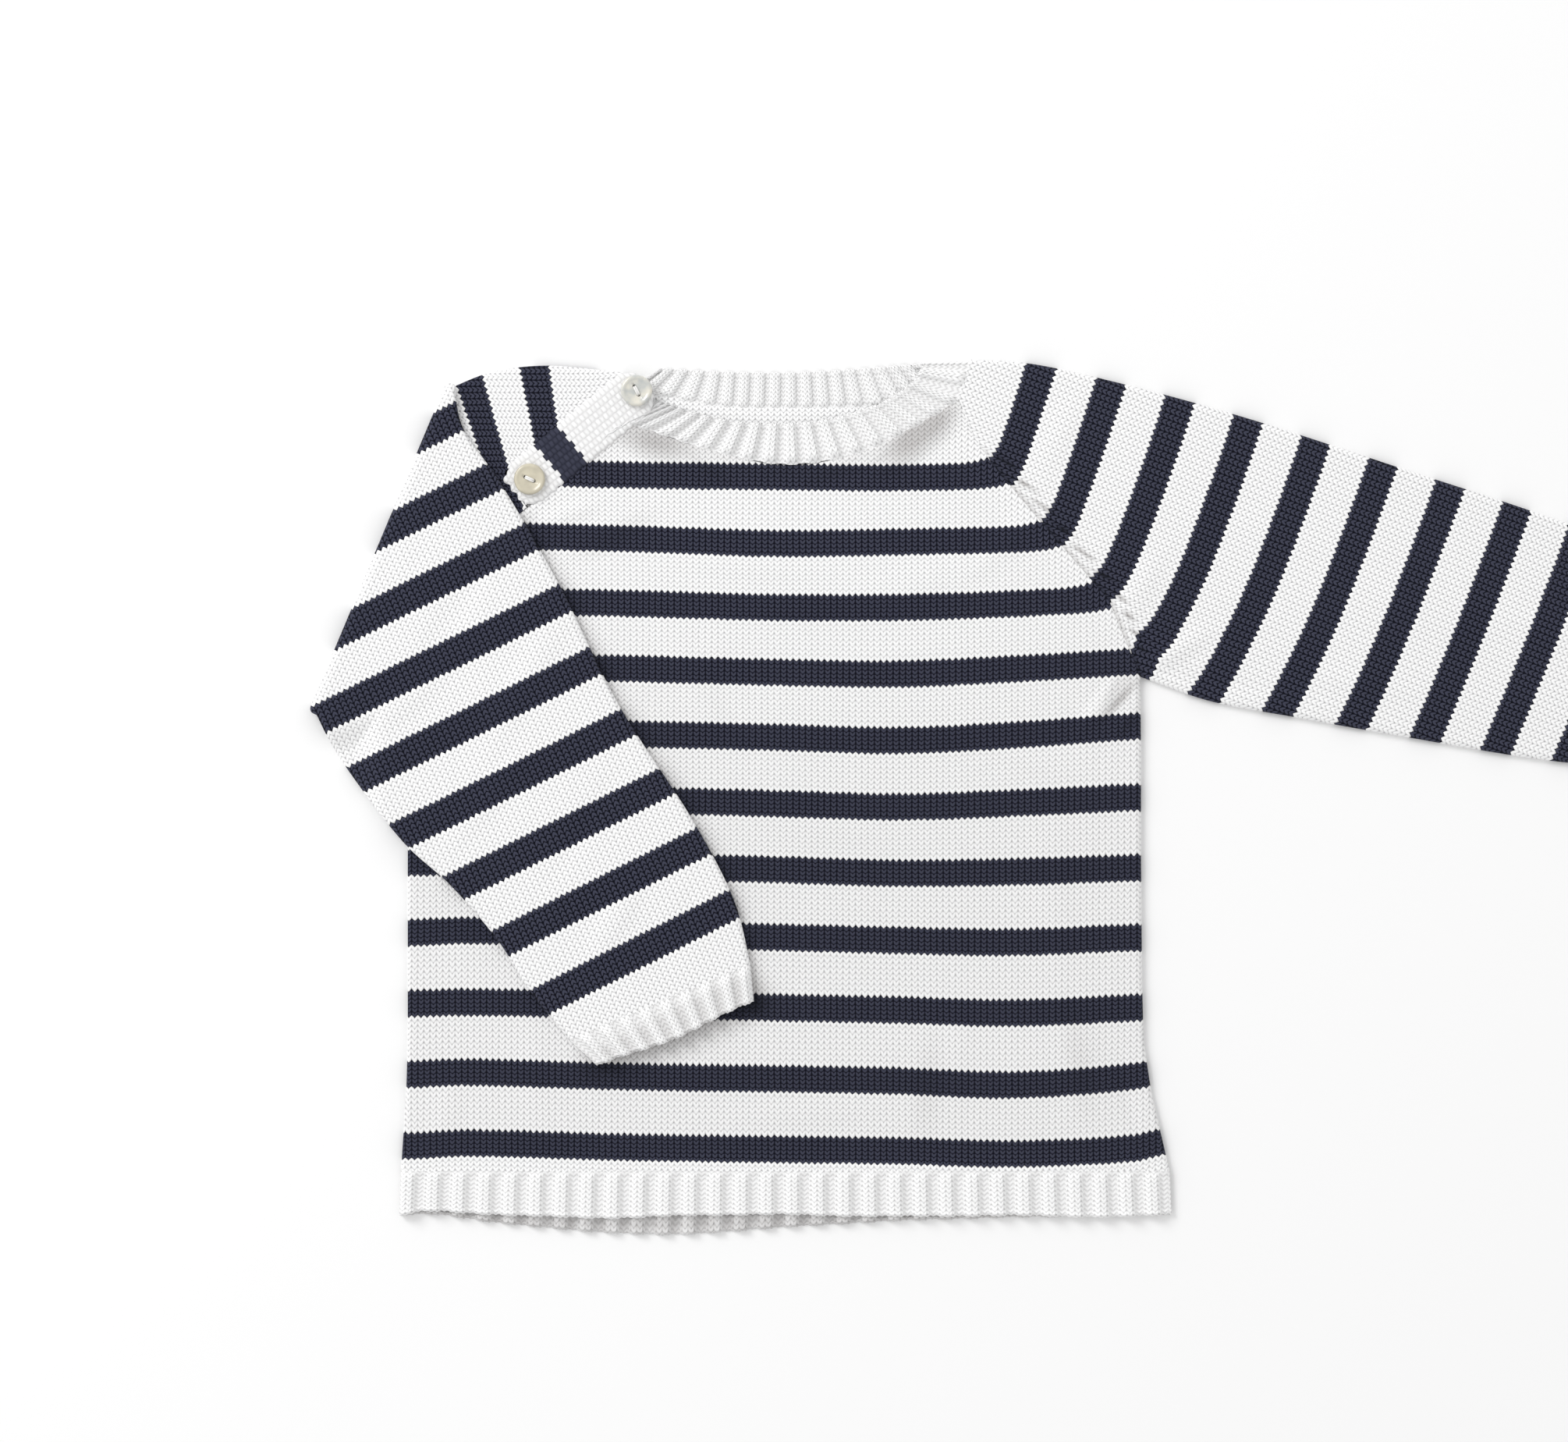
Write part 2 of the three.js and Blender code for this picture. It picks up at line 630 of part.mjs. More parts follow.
function neckband() {
  const lineOf = (rows, x, y) => smoothLine(rows.map((row) => ({ x: row[x], y: row[y] })));
  const sections = [];
  const topOfBack = wall - ribRise;
  const across = (rows) => {
    const edge = lineOf(rows, 'edgeX', 'edgeY');
    const seam = lineOf(rows, 'seamX', 'seamY');
    return (t) => {
      const from = seam(t);
      const to = edge(t);
      const pull = halfGap / from.distanceTo(to);
      return straight(from.clone().lerp(to, pull), to);
    };
  };
  const station = (at, outerFace, innerFace) => {
    const length = at(0).distanceTo(at(1));
    const inset = rim / length;
    const shares = [inset, 1 - inset];
    const halfway = (plan) => outerFace(plan).lerp(innerFace(plan), 0.5);
    const points = [
      halfway(at(0)), ...shares.map((u) => outerFace(at(u))),
      halfway(at(1)), ...shares.slice().reverse().map((u) => innerFace(at(u))),
    ];
    const along = [0, ...shares, 1, ...shares.slice().reverse()];
    sections.push({ points, along, farEdge: shares.length + 1 });
  };
  const atHeight = (z) => (plan) => new THREE.Vector3(plan.x, plan.y, z);

  const front = across(frontNeck);
  for (const { u, up } of ribShares(ribsOfFrontNeck)) {
    station(front(u), atHeight(frontLevel + ribValley + ribRise * up), atHeight(frontLevel));
  }
  const shoulder = front(1);
  const turnAxis = frontLevel - halfGap;
  const outerTop = frontLevel + ribValley - turnAxis;
  for (const share of shoulderTurns) {
    const angle = Math.PI * share;
    const turned = (radius) => (plan) => new THREE.Vector3(
      plan.x, plan.y + radius * Math.sin(angle), turnAxis + radius * Math.cos(angle),
    );
    const outerRadius = THREE.MathUtils.lerp(outerTop, turnAxis, share);
    station(shoulder, turned(outerRadius), turned(halfGap));
  }
  const back = across(backNeck);
  for (const { u, up } of ribShares(ribsOfBackNeck)) {
    station(back(u), atHeight(0), atHeight(topOfBack + ribRise * up));
  }
  return sweepSlab('neckband', sections, ribWhite);
}

neckband();

// Placket: the button band lies under the buttonhole band

function placketBand(name, base, thick) {
  const along = placketEnd.clone().sub(placketTop).normalize();
  const side = new THREE.Vector2(along.y, -along.x);
  const reach = placketWidth / 2 - halfGap;
  const sections = steps(placketSteps).map((s) => {
    const centre = placketTop.clone().lerp(placketEnd, s);
    const at = straight(
      centre.clone().addScaledVector(side, reach),
      centre.clone().addScaledVector(side, -reach),
    );
    return wallSection({
      at,
      upper: plain(placketColumns),
      lower: plain(placketColumns),
      low: () => base,
      high: () => base + thick,
    });
  });
  return sweepSlab(name, sections, knitWhite);
}

placketBand('button_band', frontLevel, buttonBandThick);
const buttonholeLevel = frontLevel + buttonBandThick + gap;
placketBand('buttonhole_band', buttonholeLevel, buttonholeBandThick);

// Buttons: turned discs with a rim, a shallow dish and two holes

function toManifold(geometry) {
  const bare = geometry.clone();
  bare.deleteAttribute('normal');
  bare.deleteAttribute('uv');
  const merged = mergeVertices(bare, 1e-4);
  return new wasm.Manifold(new wasm.Mesh({
    numProp: 3,
    vertProperties: new Float32Array(merged.attributes.position.array),
    triVerts: new Uint32Array(merged.index.array),
  }));
}

function buttonShape() {
  const profile = buttonProfile.map(({ r, z }) => new THREE.Vector2(r, z));
  const disc = new THREE.LatheGeometry(profile, buttonSegments).rotateX(Math.PI / 2);
  let body = toManifold(disc);
  if (body.volume() < 0) {
    disc.index.array.reverse();
    body = toManifold(disc);
  }
  for (const side of [-1, 1]) {
    const drill = new THREE.CylinderGeometry(buttonHoleRadius, buttonHoleRadius, drillLength, drillSegments);
    drill.rotateX(Math.PI / 2);
    drill.translate((side * buttonHoleSpacing) / 2, 0, 0);
    body = body.subtract(toManifold(drill));
  }
  const cut = body.getMesh();
  const geometry = new THREE.BufferGeometry();
  geometry.setAttribute('position', new THREE.BufferAttribute(cut.vertProperties, 3));
  geometry.setIndex(new THREE.BufferAttribute(cut.triVerts, 1));
  geometry.computeVertexNormals();
  return geometry;
}

const buttonGeometry = buttonShape();
for (const { name, x, y, turn, color } of buttons) {
  const pearl = new THREE.MeshStandardMaterial({ color, roughness: 0.25, metalness: 0 });
  const button = new THREE.Mesh(buttonGeometry, pearl);
  button.name = name;
  button.position.set(x, y, buttonholeLevel + buttonholeBandThick + gap);
  button.rotation.z = THREE.MathUtils.degToRad(turn);
  sweater.add(button);
}

// The sweater's box stands on the origin
const box = new THREE.Box3().setFromObject(sweater);
const middle = box.getCenter(new THREE.Vector3());
sweater.position.set(-middle.x, -middle.y, 0);

export default sweater;
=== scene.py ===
# %% [markdown]
# # A child's knitted sweater, laid flat
# The CAD part gives every piece its place, its size and its level above the table. This lesson
# dresses those solids in knitted cloth: grids that follow the pieces, with stitches drawn by the
# material.

# %% Load the frame
import math

import bmesh
import bpy
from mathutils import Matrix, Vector


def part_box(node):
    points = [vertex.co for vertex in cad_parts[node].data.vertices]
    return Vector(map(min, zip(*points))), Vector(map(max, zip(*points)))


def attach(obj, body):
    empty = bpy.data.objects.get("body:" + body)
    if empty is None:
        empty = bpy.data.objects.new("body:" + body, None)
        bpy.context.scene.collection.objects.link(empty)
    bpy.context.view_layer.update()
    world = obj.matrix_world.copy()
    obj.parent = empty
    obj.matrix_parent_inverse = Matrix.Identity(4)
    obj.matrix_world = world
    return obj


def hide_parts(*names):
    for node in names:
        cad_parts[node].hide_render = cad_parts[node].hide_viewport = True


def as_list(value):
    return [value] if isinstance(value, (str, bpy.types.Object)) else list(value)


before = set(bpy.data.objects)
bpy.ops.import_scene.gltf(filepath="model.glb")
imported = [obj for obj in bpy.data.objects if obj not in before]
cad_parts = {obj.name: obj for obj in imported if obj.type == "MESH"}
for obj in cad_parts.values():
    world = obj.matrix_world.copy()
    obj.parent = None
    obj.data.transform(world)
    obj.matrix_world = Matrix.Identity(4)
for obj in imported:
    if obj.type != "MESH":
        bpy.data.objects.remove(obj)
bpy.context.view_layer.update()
print("nodes:", sorted(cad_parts))

# %% [markdown]
# ## The plan
# A knitter draws a sweater as a plan: X from the centre front, Y up from the hem, in millimetres.
# The CAD part was moved so that its box stands on the origin, and one button, whose place in the
# plan is known, tells how far.

# %% From the plan to the frame
MM = 0.001
LOWER_BUTTON = (-93.0, 283.5)
UPPER_BUTTON = (-52.0, 317.4)
button_low, button_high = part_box("button_lower")
shift_x = (button_low.x + button_high.x) / 2 / MM - LOWER_BUTTON[0]
shift_y = (button_low.y + button_high.y) / 2 / MM - LOWER_BUTTON[1]


def plan(x, y, z):
    """A point of the plan, in the frame and in metres."""
    return Vector(((x + shift_x) * MM, (y + shift_y) * MM, z * MM))


def object_from(name, mesh):
    """An object of the scene made from a finished bmesh, which is freed."""
    data = bpy.data.meshes.new(name)
    mesh.to_mesh(data)
    mesh.free()
    made = bpy.data.objects.new(name, data)
    bpy.context.collection.objects.link(made)
    return made


print("plan moved by", round(shift_x, 2), round(shift_y, 2))

# %% [markdown]
# ## Camera and light
# The photograph looks straight down. A long lens far above keeps the cloth's edges free of
# perspective. The light is a bright even sky, with one large soft lamp from the upper left that
# lets ribs, puckers and the folded sleeve cast their faint shadows.

# %% Camera, floor and lamp
PHOTO_WIDTH = 603.0
PHOTO_CENTRE = (4.5, 190.8)
LENS = 100.0
SENSOR = 36.0
FLOOR_SIZE = 4.0
FLOOR_WHITE = (0.93, 0.93, 0.93, 1)
FLOOR_ROUGHNESS = 0.9
SKY_STRENGTH = 0.80
LAMP_SIZE = 1.2
LAMP_POWER = 36.0
LAMP_PLACE = (-1.7, 1.5, 1.7)

camera_data = bpy.data.cameras.new("overhead")
camera_data.lens = LENS
camera_data.sensor_width = SENSOR
camera = bpy.data.objects.new("overhead", camera_data)
camera.location = plan(*PHOTO_CENTRE, PHOTO_WIDTH * LENS / SENSOR)
bpy.context.collection.objects.link(camera)
bpy.context.scene.camera = camera
bpy.context.scene.view_settings.view_transform = "Standard"

floor_mesh = bmesh.new()
bmesh.ops.create_grid(floor_mesh, x_segments=1, y_segments=1, size=FLOOR_SIZE)
floor = object_from("floor", floor_mesh)
floor_paint = bpy.data.materials.new("floor_white")
floor_paint.use_nodes = True
paint_inputs = floor_paint.node_tree.nodes["Principled BSDF"].inputs
paint_inputs["Base Color"].default_value = FLOOR_WHITE
paint_inputs["Roughness"].default_value = FLOOR_ROUGHNESS
floor.data.materials.append(floor_paint)

sky = bpy.data.worlds.new("studio")
bpy.context.scene.world = sky
sky.use_nodes = True
sky_inputs = sky.node_tree.nodes["Background"].inputs
sky_inputs["Color"].default_value = (1, 1, 1, 1)
sky_inputs["Strength"].default_value = SKY_STRENGTH

lamp_data = bpy.data.lights.new("softbox", "AREA")
lamp_data.size = LAMP_SIZE
lamp_data.energy = LAMP_POWER
lamp = bpy.data.objects.new("softbox", lamp_data)
lamp.location = LAMP_PLACE
lamp.rotation_euler = (Vector((0, 0, 0)) - lamp.location).to_track_quat("-Z", "Y").to_euler()
bpy.context.collection.objects.link(lamp)
print("camera above", tuple(round(v, 3) for v in camera.location))

# %% [markdown]
# ## Smooth lines
# Edges of the cloth are short tables of given points. A Catmull-Rom line runs smoothly
# through them, and is asked for by the share of its length, so that stitches stay even along it.


# %% Lines through points
def line_point(points, where):
    """The smooth line's point at a place counted in points: 1.5 is between the second and third."""
    i = min(max(int(where), 0), len(points) - 2)
    t = where - i
    p0, p1, p2, p3 = (Vector(points[min(max(k, 0), len(points) - 1)]) for k in range(i - 1, i + 3))
    return 0.5 * (2 * p1 + (p2 - p0) * t + (2 * p0 - 5 * p1 + 4 * p2 - p3) * t * t
                  + (3 * p1 - p0 - 3 * p2 + p3) * t * t * t)


def smooth_line(points, per_span=16):
    """A smooth line through the points, as a function of the share of its length."""
    spans = len(points) - 1
    return measured_line([line_point(points, k / per_span) for k in range(spans * per_span + 1)])


def distance_to(points, x, y):
    """How far a place is from a line of straight pieces."""
    place, nearest = Vector((x, y)), 1e9
    for a, b in zip(points, points[1:]):
        a, b = Vector(a), Vector(b)
        share = min(max((place - a).dot(b - a) / (b - a).length_squared, 0.0), 1.0)
        nearest = min(nearest, (place - a.lerp(b, share)).length)
    return nearest


def measured_line(points):
    """A line of straight pieces, as a function of the share of its length."""
    points = [Vector(p) for p in points]
    reach = [0.0]
    for a, b in zip(points, points[1:]):
        reach.append(reach[-1] + (b - a).length)

    def at(share):
        goal = min(max(share, 0.0), 1.0) * reach[-1]
        low, high = 0, len(reach) - 1
        while high - low > 1:
            middle = (low + high) // 2
            if reach[middle] <= goal:
                low = middle
            else:
                high = middle
        span = reach[high] - reach[low]
        return points[low].lerp(points[high], (goal - reach[low]) / span if span else 0.0)

    return at


def read_table(rows, value):
    """The row's numbers at a value of its first column, between the rows beside it."""
    if value <= rows[0][0]:
        return rows[0][1:]
    for low, high in zip(rows, rows[1:]):
        if value <= high[0]:
            share = (value - low[0]) / (high[0] - low[0])
            return tuple(a + (b - a) * share for a, b in zip(low[1:], high[1:]))
    return rows[-1][1:]


def soft_step(low, high, value):
    """0 up to low, 1 from high on, and a soft slope between."""
    share = min(max((value - low) / (high - low), 0.0), 1.0)
    return share * share * (3 - 2 * share)


def rounded(distance, radius):
    """How far a rounded edge has risen, from 0 at the edge to 1 past the radius."""
    share = min(max(distance / radius, 0.0), 1.0)
    return math.sqrt(1 - (1 - share) ** 2)


print("line helpers ready")

# %% [markdown]
# ## Knitted grids
# Knitted cloth is a grid: wales run up it and courses run across. Each piece starts from
# bmesh's grid, which is then laid over the plan, and its UV map counts stitches: one unit of U
# is a wale, one unit of V is a course. A piece that lies flat gets a flat underside, a copy of the
# grid bridged to it round the edge. A tube gets its wall from a Solidify modifier instead.


# %% Grid builder
def close_below(mesh, level):
    """Close a grid with a flat copy of itself at a level below, joined to it round the edge."""
    rim = [edge for edge in mesh.edges if edge.is_boundary]
    copied = bmesh.ops.duplicate(mesh, geom=[*mesh.verts, *mesh.edges, *mesh.faces])["geom"]
    for vert in [part for part in copied if isinstance(part, bmesh.types.BMVert)]:
        vert.co.z = level * MM
    below = [part for part in copied if isinstance(part, bmesh.types.BMFace)]
    bmesh.ops.reverse_faces(mesh, faces=below)
    edges = [part for part in copied if isinstance(part, bmesh.types.BMEdge)]
    lower_rim = [edge for edge in edges if edge.is_boundary]
    bmesh.ops.bridge_loops(mesh, edges=[*rim, *lower_rim])
    bmesh.ops.recalc_face_normals(mesh, faces=mesh.faces)


def knitted_grid(name, columns, rows, place, stitches, tube=False, thickness=0.0, painted_shade=None,
                 underside=None):
    """A grid of faces laid out by place(u, v), its stitches counted by stitches(u, v, point)."""
    mesh = bmesh.new()
    bmesh.ops.create_grid(mesh, x_segments=columns, y_segments=rows, size=0.5)
    counts = mesh.loops.layers.uv.new("stitches")
    shade_layer = mesh.verts.layers.float.new("painted_shade")
    laid = {}
    for vert in mesh.verts:
        u, v = vert.co.x + 0.5, vert.co.y + 0.5
        point = place(u, v)
        laid[vert] = (point, stitches(u, v, point))
        # each vertex keeps how much painted shade its colour gets, 0 for none
        vert[shade_layer] = painted_shade(point[0], point[1]) if painted_shade else 0.0
    for face in mesh.faces:
        face.smooth = True
        for loop in face.loops:
            loop[counts].uv = laid[loop.vert][1]
    for vert, (point, _) in laid.items():
        vert.co = plan(*point)
    if tube:
        bmesh.ops.remove_doubles(mesh, verts=mesh.verts, dist=1e-6)
        bmesh.ops.recalc_face_normals(mesh, faces=mesh.faces)
    for edge in mesh.edges:
        edge.smooth = not edge.is_boundary
    if underside is not None:
        close_below(mesh, underside)
    piece = object_from(name, mesh)
    if thickness:
        thicken = piece.modifiers.new("cloth", "SOLIDIFY")
        thicken.thickness = thickness * MM
        thicken.offset = -1
    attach(piece, "root")
    print(name, "grid", columns, "x", rows)
    return piece


# %% [markdown]
# ## Levels
# The sweater's layers lie on each other: the back on the table, the front on the back, and the
# folded sleeve on both. These levels are the CAD part's own, in millimetres above the table.

# %% Levels and yarn sizes
WALL = 1.6
FRONT_LOW = 1.9
FRONT_TOP = 3.5
OVER_LOW = 3.8
RIB_VALLEY = 0.9
RIB_RISE = 1.9
WALE = 2.4
STRIPE_REPEAT = 14
NAVY_COURSES = 6
SEAM_OVERLAP = 0.7
SEAM_STEP = 0.05
EDGE_RADIUS = 1.8
LOOP_RADIUS = 1.4
ABOVE_TABLE = 0.05
UNDERSIDE = 0.02
TUBE_WALL = WALL - 0.2

# %% [markdown]
# ## Counting courses on the body
# The stripes tell where the courses lie. Each navy stripe has six courses, as in the photograph.
# Each white band is drawn with eight, fewer and taller than the ten or so that the photograph
# shows. The table below gives the middle of each navy stripe, as its height on the plan
# at eight places across the body, because the cloth was laid down with soft waves in it.

# %% Stripe heights
STRIPE_X = (-138, -117, -57, 0, 48, 93, 138, 152)
STRIPE_HEIGHTS = (
    (27.1, 28.2, 26.6, 25.8, 25.2, 24.1, 26.2, 29.3),
    (54.6, 55.4, 53.7, 52.9, 52.0, 50.5, 53.7, 56.6),
    (81.8, 82.2, 81.3, 80.2, 79.3, 78.1, 80.1, 80.7),
    (108.9, 109.8, 108.5, 107.2, 106.0, 105.3, 107.0, 107.5),
    (135.9, 135.9, 134.4, 133.2, 131.8, 132.3, 133.8, 134.2),
    (161.4, 161.1, 159.9, 158.5, 157.2, 158.7, 160.8, 161.3),
    (186.6, 186.3, 185.2, 184.0, 182.7, 184.8, 188.1, 189.0),
    (211.5, 211.2, 210.3, 208.9, 208.2, 210.2, 212.8, 213.4),
    (236.7, 236.4, 235.3, 233.8, 233.8, 235.2, 237.6, 238.0),
    (261.6, 261.3, 260.2, 258.3, 258.9, 259.9, 262.2, 262.6),
    (286.2, 285.9, 284.6, 283.9, 283.5, 284.7, 287.1, 287.5),
)
NAVY_HALF = 4.95
COURSE_BELOW = 1.9
COURSE_ABOVE = 1.85


def smooth_height(heights, x):
    """A stripe's height at x, on a curve whose slope at each place comes from its neighbours."""
    last = len(STRIPE_X) - 1
    i = max(k for k in range(last) if k == 0 or STRIPE_X[k] <= x)
    span = STRIPE_X[i + 1] - STRIPE_X[i]
    t = min(max((x - STRIPE_X[i]) / span, 0.0), 1.0)
    slopes = []
    for k in (i, i + 1):
        before, after = max(k - 1, 0), min(k + 1, last)
        slopes.append((heights[after] - heights[before]) / (STRIPE_X[after] - STRIPE_X[before]))
    rise = heights[i + 1] - heights[i]
    bend = t * (1 - t) * span * (slopes[0] * (1 - t) - slopes[1] * t)
    return heights[i] + rise * t * t * (3 - 2 * t) + bend


def stripe_heights_at(x):
    """The heights of the navy stripes' middles on one line up the body."""
    return [smooth_height(heights, x) for heights in STRIPE_HEIGHTS]


def body_courses():
    """A function that counts courses on the body, from 0 at the lowest navy stripe's foot."""
    known = {}

    def count(x, y):
        key = round(x)
        if key not in known:
            marks = []
            for i, height in enumerate(stripe_heights_at(key)):
                marks.append((height - NAVY_HALF, i * STRIPE_REPEAT))
                marks.append((height + NAVY_HALF, i * STRIPE_REPEAT + NAVY_COURSES))
            known[key] = marks
        marks = known[key]
        if y < marks[0][0]:
            return (y - marks[0][0]) / COURSE_BELOW
        if y > marks[-1][0]:
            return marks[-1][1] + (y - marks[-1][0]) / COURSE_ABOVE
        return read_table(marks, y)[0]

    return count


RAGLAN_SLIP = 2.3
SLIP_REACH = 11.0
SLIP_FROM, SLIP_TO = 188, 226
RAGLAN_POINT = (129.2, 237.1)
RAGLAN_ALONG = Vector((-0.652, 0.759))


def raglan_slip(x, y):
    """How far the courses climb along a raglan seam, which bends the stripes round softly."""
    side = 1 if x > 0 else -1
    along = RAGLAN_ALONG
    away = abs((side * x - RAGLAN_POINT[0]) * along.y - (y - RAGLAN_POINT[1]) * along.x)
    slip = RAGLAN_SLIP * max(0.0, 1 - away / SLIP_REACH) ** 2 * soft_step(SLIP_FROM, SLIP_TO, y)
    return slip * along.x * side, slip * along.y


courses_at = body_courses()
print("courses from hem seam to neck:", round(courses_at(0, 288) - courses_at(0, 18)))

# %% [markdown]
# ## Front and back panels
# Each panel is a stack of sections from the hem seam to the neck. A section has a left end, a
# right end and a dip between them, and the last one follows the neckband's seam. Soft puffs and
# troughs lie where the photograph shows them, a long shape along its turn.

# %% Panel tables
FRONT_SECTIONS = (
    # left x, left y, right x, right y, dip
    (-142.6, 18, 152.6, 18, 0), (-141.8, 30, 149.8, 30, 0), (-140.6, 48, 145.6, 48, 0),
    (-140, 68, 142.6, 68, 0), (-140, 92, 142, 92, 0), (-140, 116, 141.8, 116, 0),
    (-140, 138, 141.6, 138, 0), (-140, 160, 141.6, 160, 0), (-140, 180, 141.6, 180, 0),
    (-140.3, 196, 141.4, 196, 0), (-140.5, 207.6, 141, 207.6, 0), (-135, 223, 135, 223, 0.4),
    (-129, 237, 129, 237, 1), (-118, 250, 119, 249, 2.2), (-107.2, 262, 108, 261, 4.5),
    (-92.7, 273, 95.3, 276, 8.5), (-80, 283.5, 84, 289.5, 12.5), (-66, 295.1, 76, 302, 16.8),
)
BACK_SECTIONS = FRONT_SECTIONS[:15] + (
    (-93, 273, 95.3, 276, 2), (-102.8, 285.6, 85, 287.5, 1.5), (-82, 302.5, 76, 302, 2.5),
)
FRONT_NECK = (
    (-53, 306), (-42, 300.6), (-20, 294), (5, 288.8), (30, 293), (53, 303.6), (70.6, 314.6),
)
BACK_NECK = (
    (-58.7, 321.5), (-54, 319), (-22, 312.6), (5, 311.7), (33, 312.2), (61, 313.6), (70.6, 315.6),
)
DIP_SHAPE = 1.15
GATHER = 0.12
ARMHOLE_FROM, ARMHOLE_TO = 204, 212
PUFF_REACH = 9
PANEL_LENGTH = 290
NECK_DROP = 0.9
NECK_DROP_REACH = 3
MIDDLE_WALE = 60
MIDDLE_X = 0.8

CREASES = (
    # x, y, half length, half width, turn in degrees, height
    (-36, 291, 26, 7, -22, 1.2), (57, 297, 24, 6.5, 38, 1.3), (128, 199, 22, 5, 50, 1.3),
    (134, 207, 16, 3.5, 62, -0.7), (-79, 270, 18, 6, 20, 0.7), (-22, 286, 12, 3.5, -30, -0.5),
    (38, 288, 13, 3, 30, -0.5), (92, 262, 30, 8, 44, 0.5), (60, 245, 40, 9, 14, 0.35),
    (-30, 205, 34, 8, -62, 0.6), (-14, 190, 30, 6, -64, -0.35), (24, 150, 46, 10, -8, 0.4),
    (108, 120, 12, 46, 4, 0.5), (122, 60, 9, 38, 10, 0.8), (137, 45, 5, 26, 12, -0.5),
    (70, 60, 10, 34, -6, 0.45), (10, 40, 40, 7, 3, 0.35), (-90, 60, 10, 34, 4, 0.45),
    (-125, 40, 8, 24, -6, 0.5), (-60, 120, 30, 8, 66, 0.4), (100, 175, 30, 7, -16, 0.4),
    (40, 215, 36, 7, 6, 0.3), (-10, 250, 38, 7, -5, 0.3),
)


def crease_height(table, x, y):
    """How far the soft ridges and troughs of a table lift the cloth."""
    lift = 0.0
    for cx, cy, length, width, turn, height in table:
        dx, dy = x - cx, y - cy
        if abs(dx) + abs(dy) > 1.5 * (length + width):
            continue
        c, s = math.cos(math.radians(turn)), math.sin(math.radians(turn))
        away = math.hypot((c * dx + s * dy) / length, (c * dy - s * dx) / width)
        lift += height * (1 - soft_step(0, 1, away))
    return lift


# %% Panel builder
def panel(name, sections, neck, low, rows, columns, creases, painted_shade=None):
    """One body panel, its upper side at the top of its wall and its side edges rounded down."""
    neck_line = smooth_line(neck)
    spans = len(sections)

    def section_point(index, u):
        if index == spans:
            return neck_line(u)
        left_x, left_y, right_x, right_y, dip = sections[index]
        x = left_x + (right_x - left_x) * u
        y = left_y + (right_y - left_y) * u - dip * math.sin(math.pi * u) ** DIP_SHAPE
        return Vector((x, y))

    def place(u, v):
        # columns gather at both sides, where the edge is round
        turn = math.pi * (GATHER + (1 - 2 * GATHER) * u)
        u = 0.5 - 0.5 * math.cos(turn) / math.cos(math.pi * GATHER)
        at = v * spans
        index = min(int(at), spans - 1)
        here, above = section_point(index, u), section_point(index + 1, u)
        point = here.lerp(above, at - index)
        width = sections[index][2] - sections[index][0]
        edge = min(u, 1 - u) * width
        sewn = soft_step(ARMHOLE_FROM, ARMHOLE_TO, point.y)
        point.x += SEAM_OVERLAP * sewn * (2 * u - 1) ** 9
        kept = 0.25 + 0.6 * sewn
        top = low + WALL * (kept + (1 - kept) * rounded(edge, EDGE_RADIUS))
        top += crease_height(creases, point.x, point.y) * soft_step(0, PUFF_REACH, edge)
        neck_side = (spans - at) / spans * PANEL_LENGTH
        top -= NECK_DROP * (1 - soft_step(0, NECK_DROP_REACH, neck_side))
        return point.x, point.y, top

    def stitches(u, v, point):
        x, y, _ = point
        return MIDDLE_WALE + (x - MIDDLE_X) / WALE, courses_at(x, y - raglan_slip(x, y)[1])

    return knitted_grid(name, columns, rows, place, stitches, painted_shade=painted_shade,
                        underside=low + UNDERSIDE)


# %% Painted shade on the front
SLEEVE_EDGE = ((-118.5, 303), (-103.5, 281), (-81.6, 243), (-58.8, 197), (-31.5, 154.5), (-15, 123),
               (-8.4, 97.5), (-6.9, 83.1))
CUFF_EDGE = ((-6.9, 83.1), (-36, 69), (-66.9, 58.2))
NECK_SEAM = ((-70.5, 293.6), (-62, 302.2), (-52.5, 303.8), (-41, 300.8), (-20, 294), (5, 289.6),
             (30, 293), (53, 303.6), (70, 315))
SHADOWS = (
    # line that casts it, its shift up, depth, reach, how sharply it fades
    (SLEEVE_EDGE, 0, 0.4, 7, 1.5), (CUFF_EDGE, 1, 0.58, 12, 1.4), (NECK_SEAM, 0, 0.35, 9, 1.5),
)
PAINTED_SHADE_PATCHES = (
    # x, y, half length, half width, turn in degrees, depth of the painted shade
    (-45, 297, 22, 9, -14, 0.75), (55, 299.5, 26, 9, 42, 0.95), (66, 305, 12, 8, 50, 0.3),
    (-24, 287, 14, 4, -34, 0.25), (22, 285, 16, 4, 18, 0.2), (134, 205, 16, 5, 40, 0.25),
    (133, 198.5, 15, 2.8, 47, 0.75), (137, 190, 12, 3, 58, 0.3),
    (-60, 262, 26, 7, 30, 0.2), (118, 60, 8, 34, 8, 0.2), (60, 50, 9, 30, -6, 0.15),
)


def front_painted_shade(x, y):
    """Painted shade on the front, from what lies beside or over a place, and more lower down."""
    depth = crease_height(PAINTED_SHADE_PATCHES, x, y)
    for line, up, dark, reach, fade in SHADOWS:
        depth += dark * max(0.0, 1 - distance_to(line, x, y - up) / reach) ** fade
    # painted shade grows a little from the chest down towards the hem, where the light falls off
    return min(depth + 0.14 * (1 - soft_step(120, 300, y)) * soft_step(19, 30, y), 0.9)


# %% The two panels
front = panel("front_panel", FRONT_SECTIONS, FRONT_NECK, FRONT_LOW, 200, 170, CREASES, front_painted_shade)
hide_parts("front")
back = panel("back_panel", BACK_SECTIONS, BACK_NECK, 0.0, 120, 80, ())
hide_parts("back")

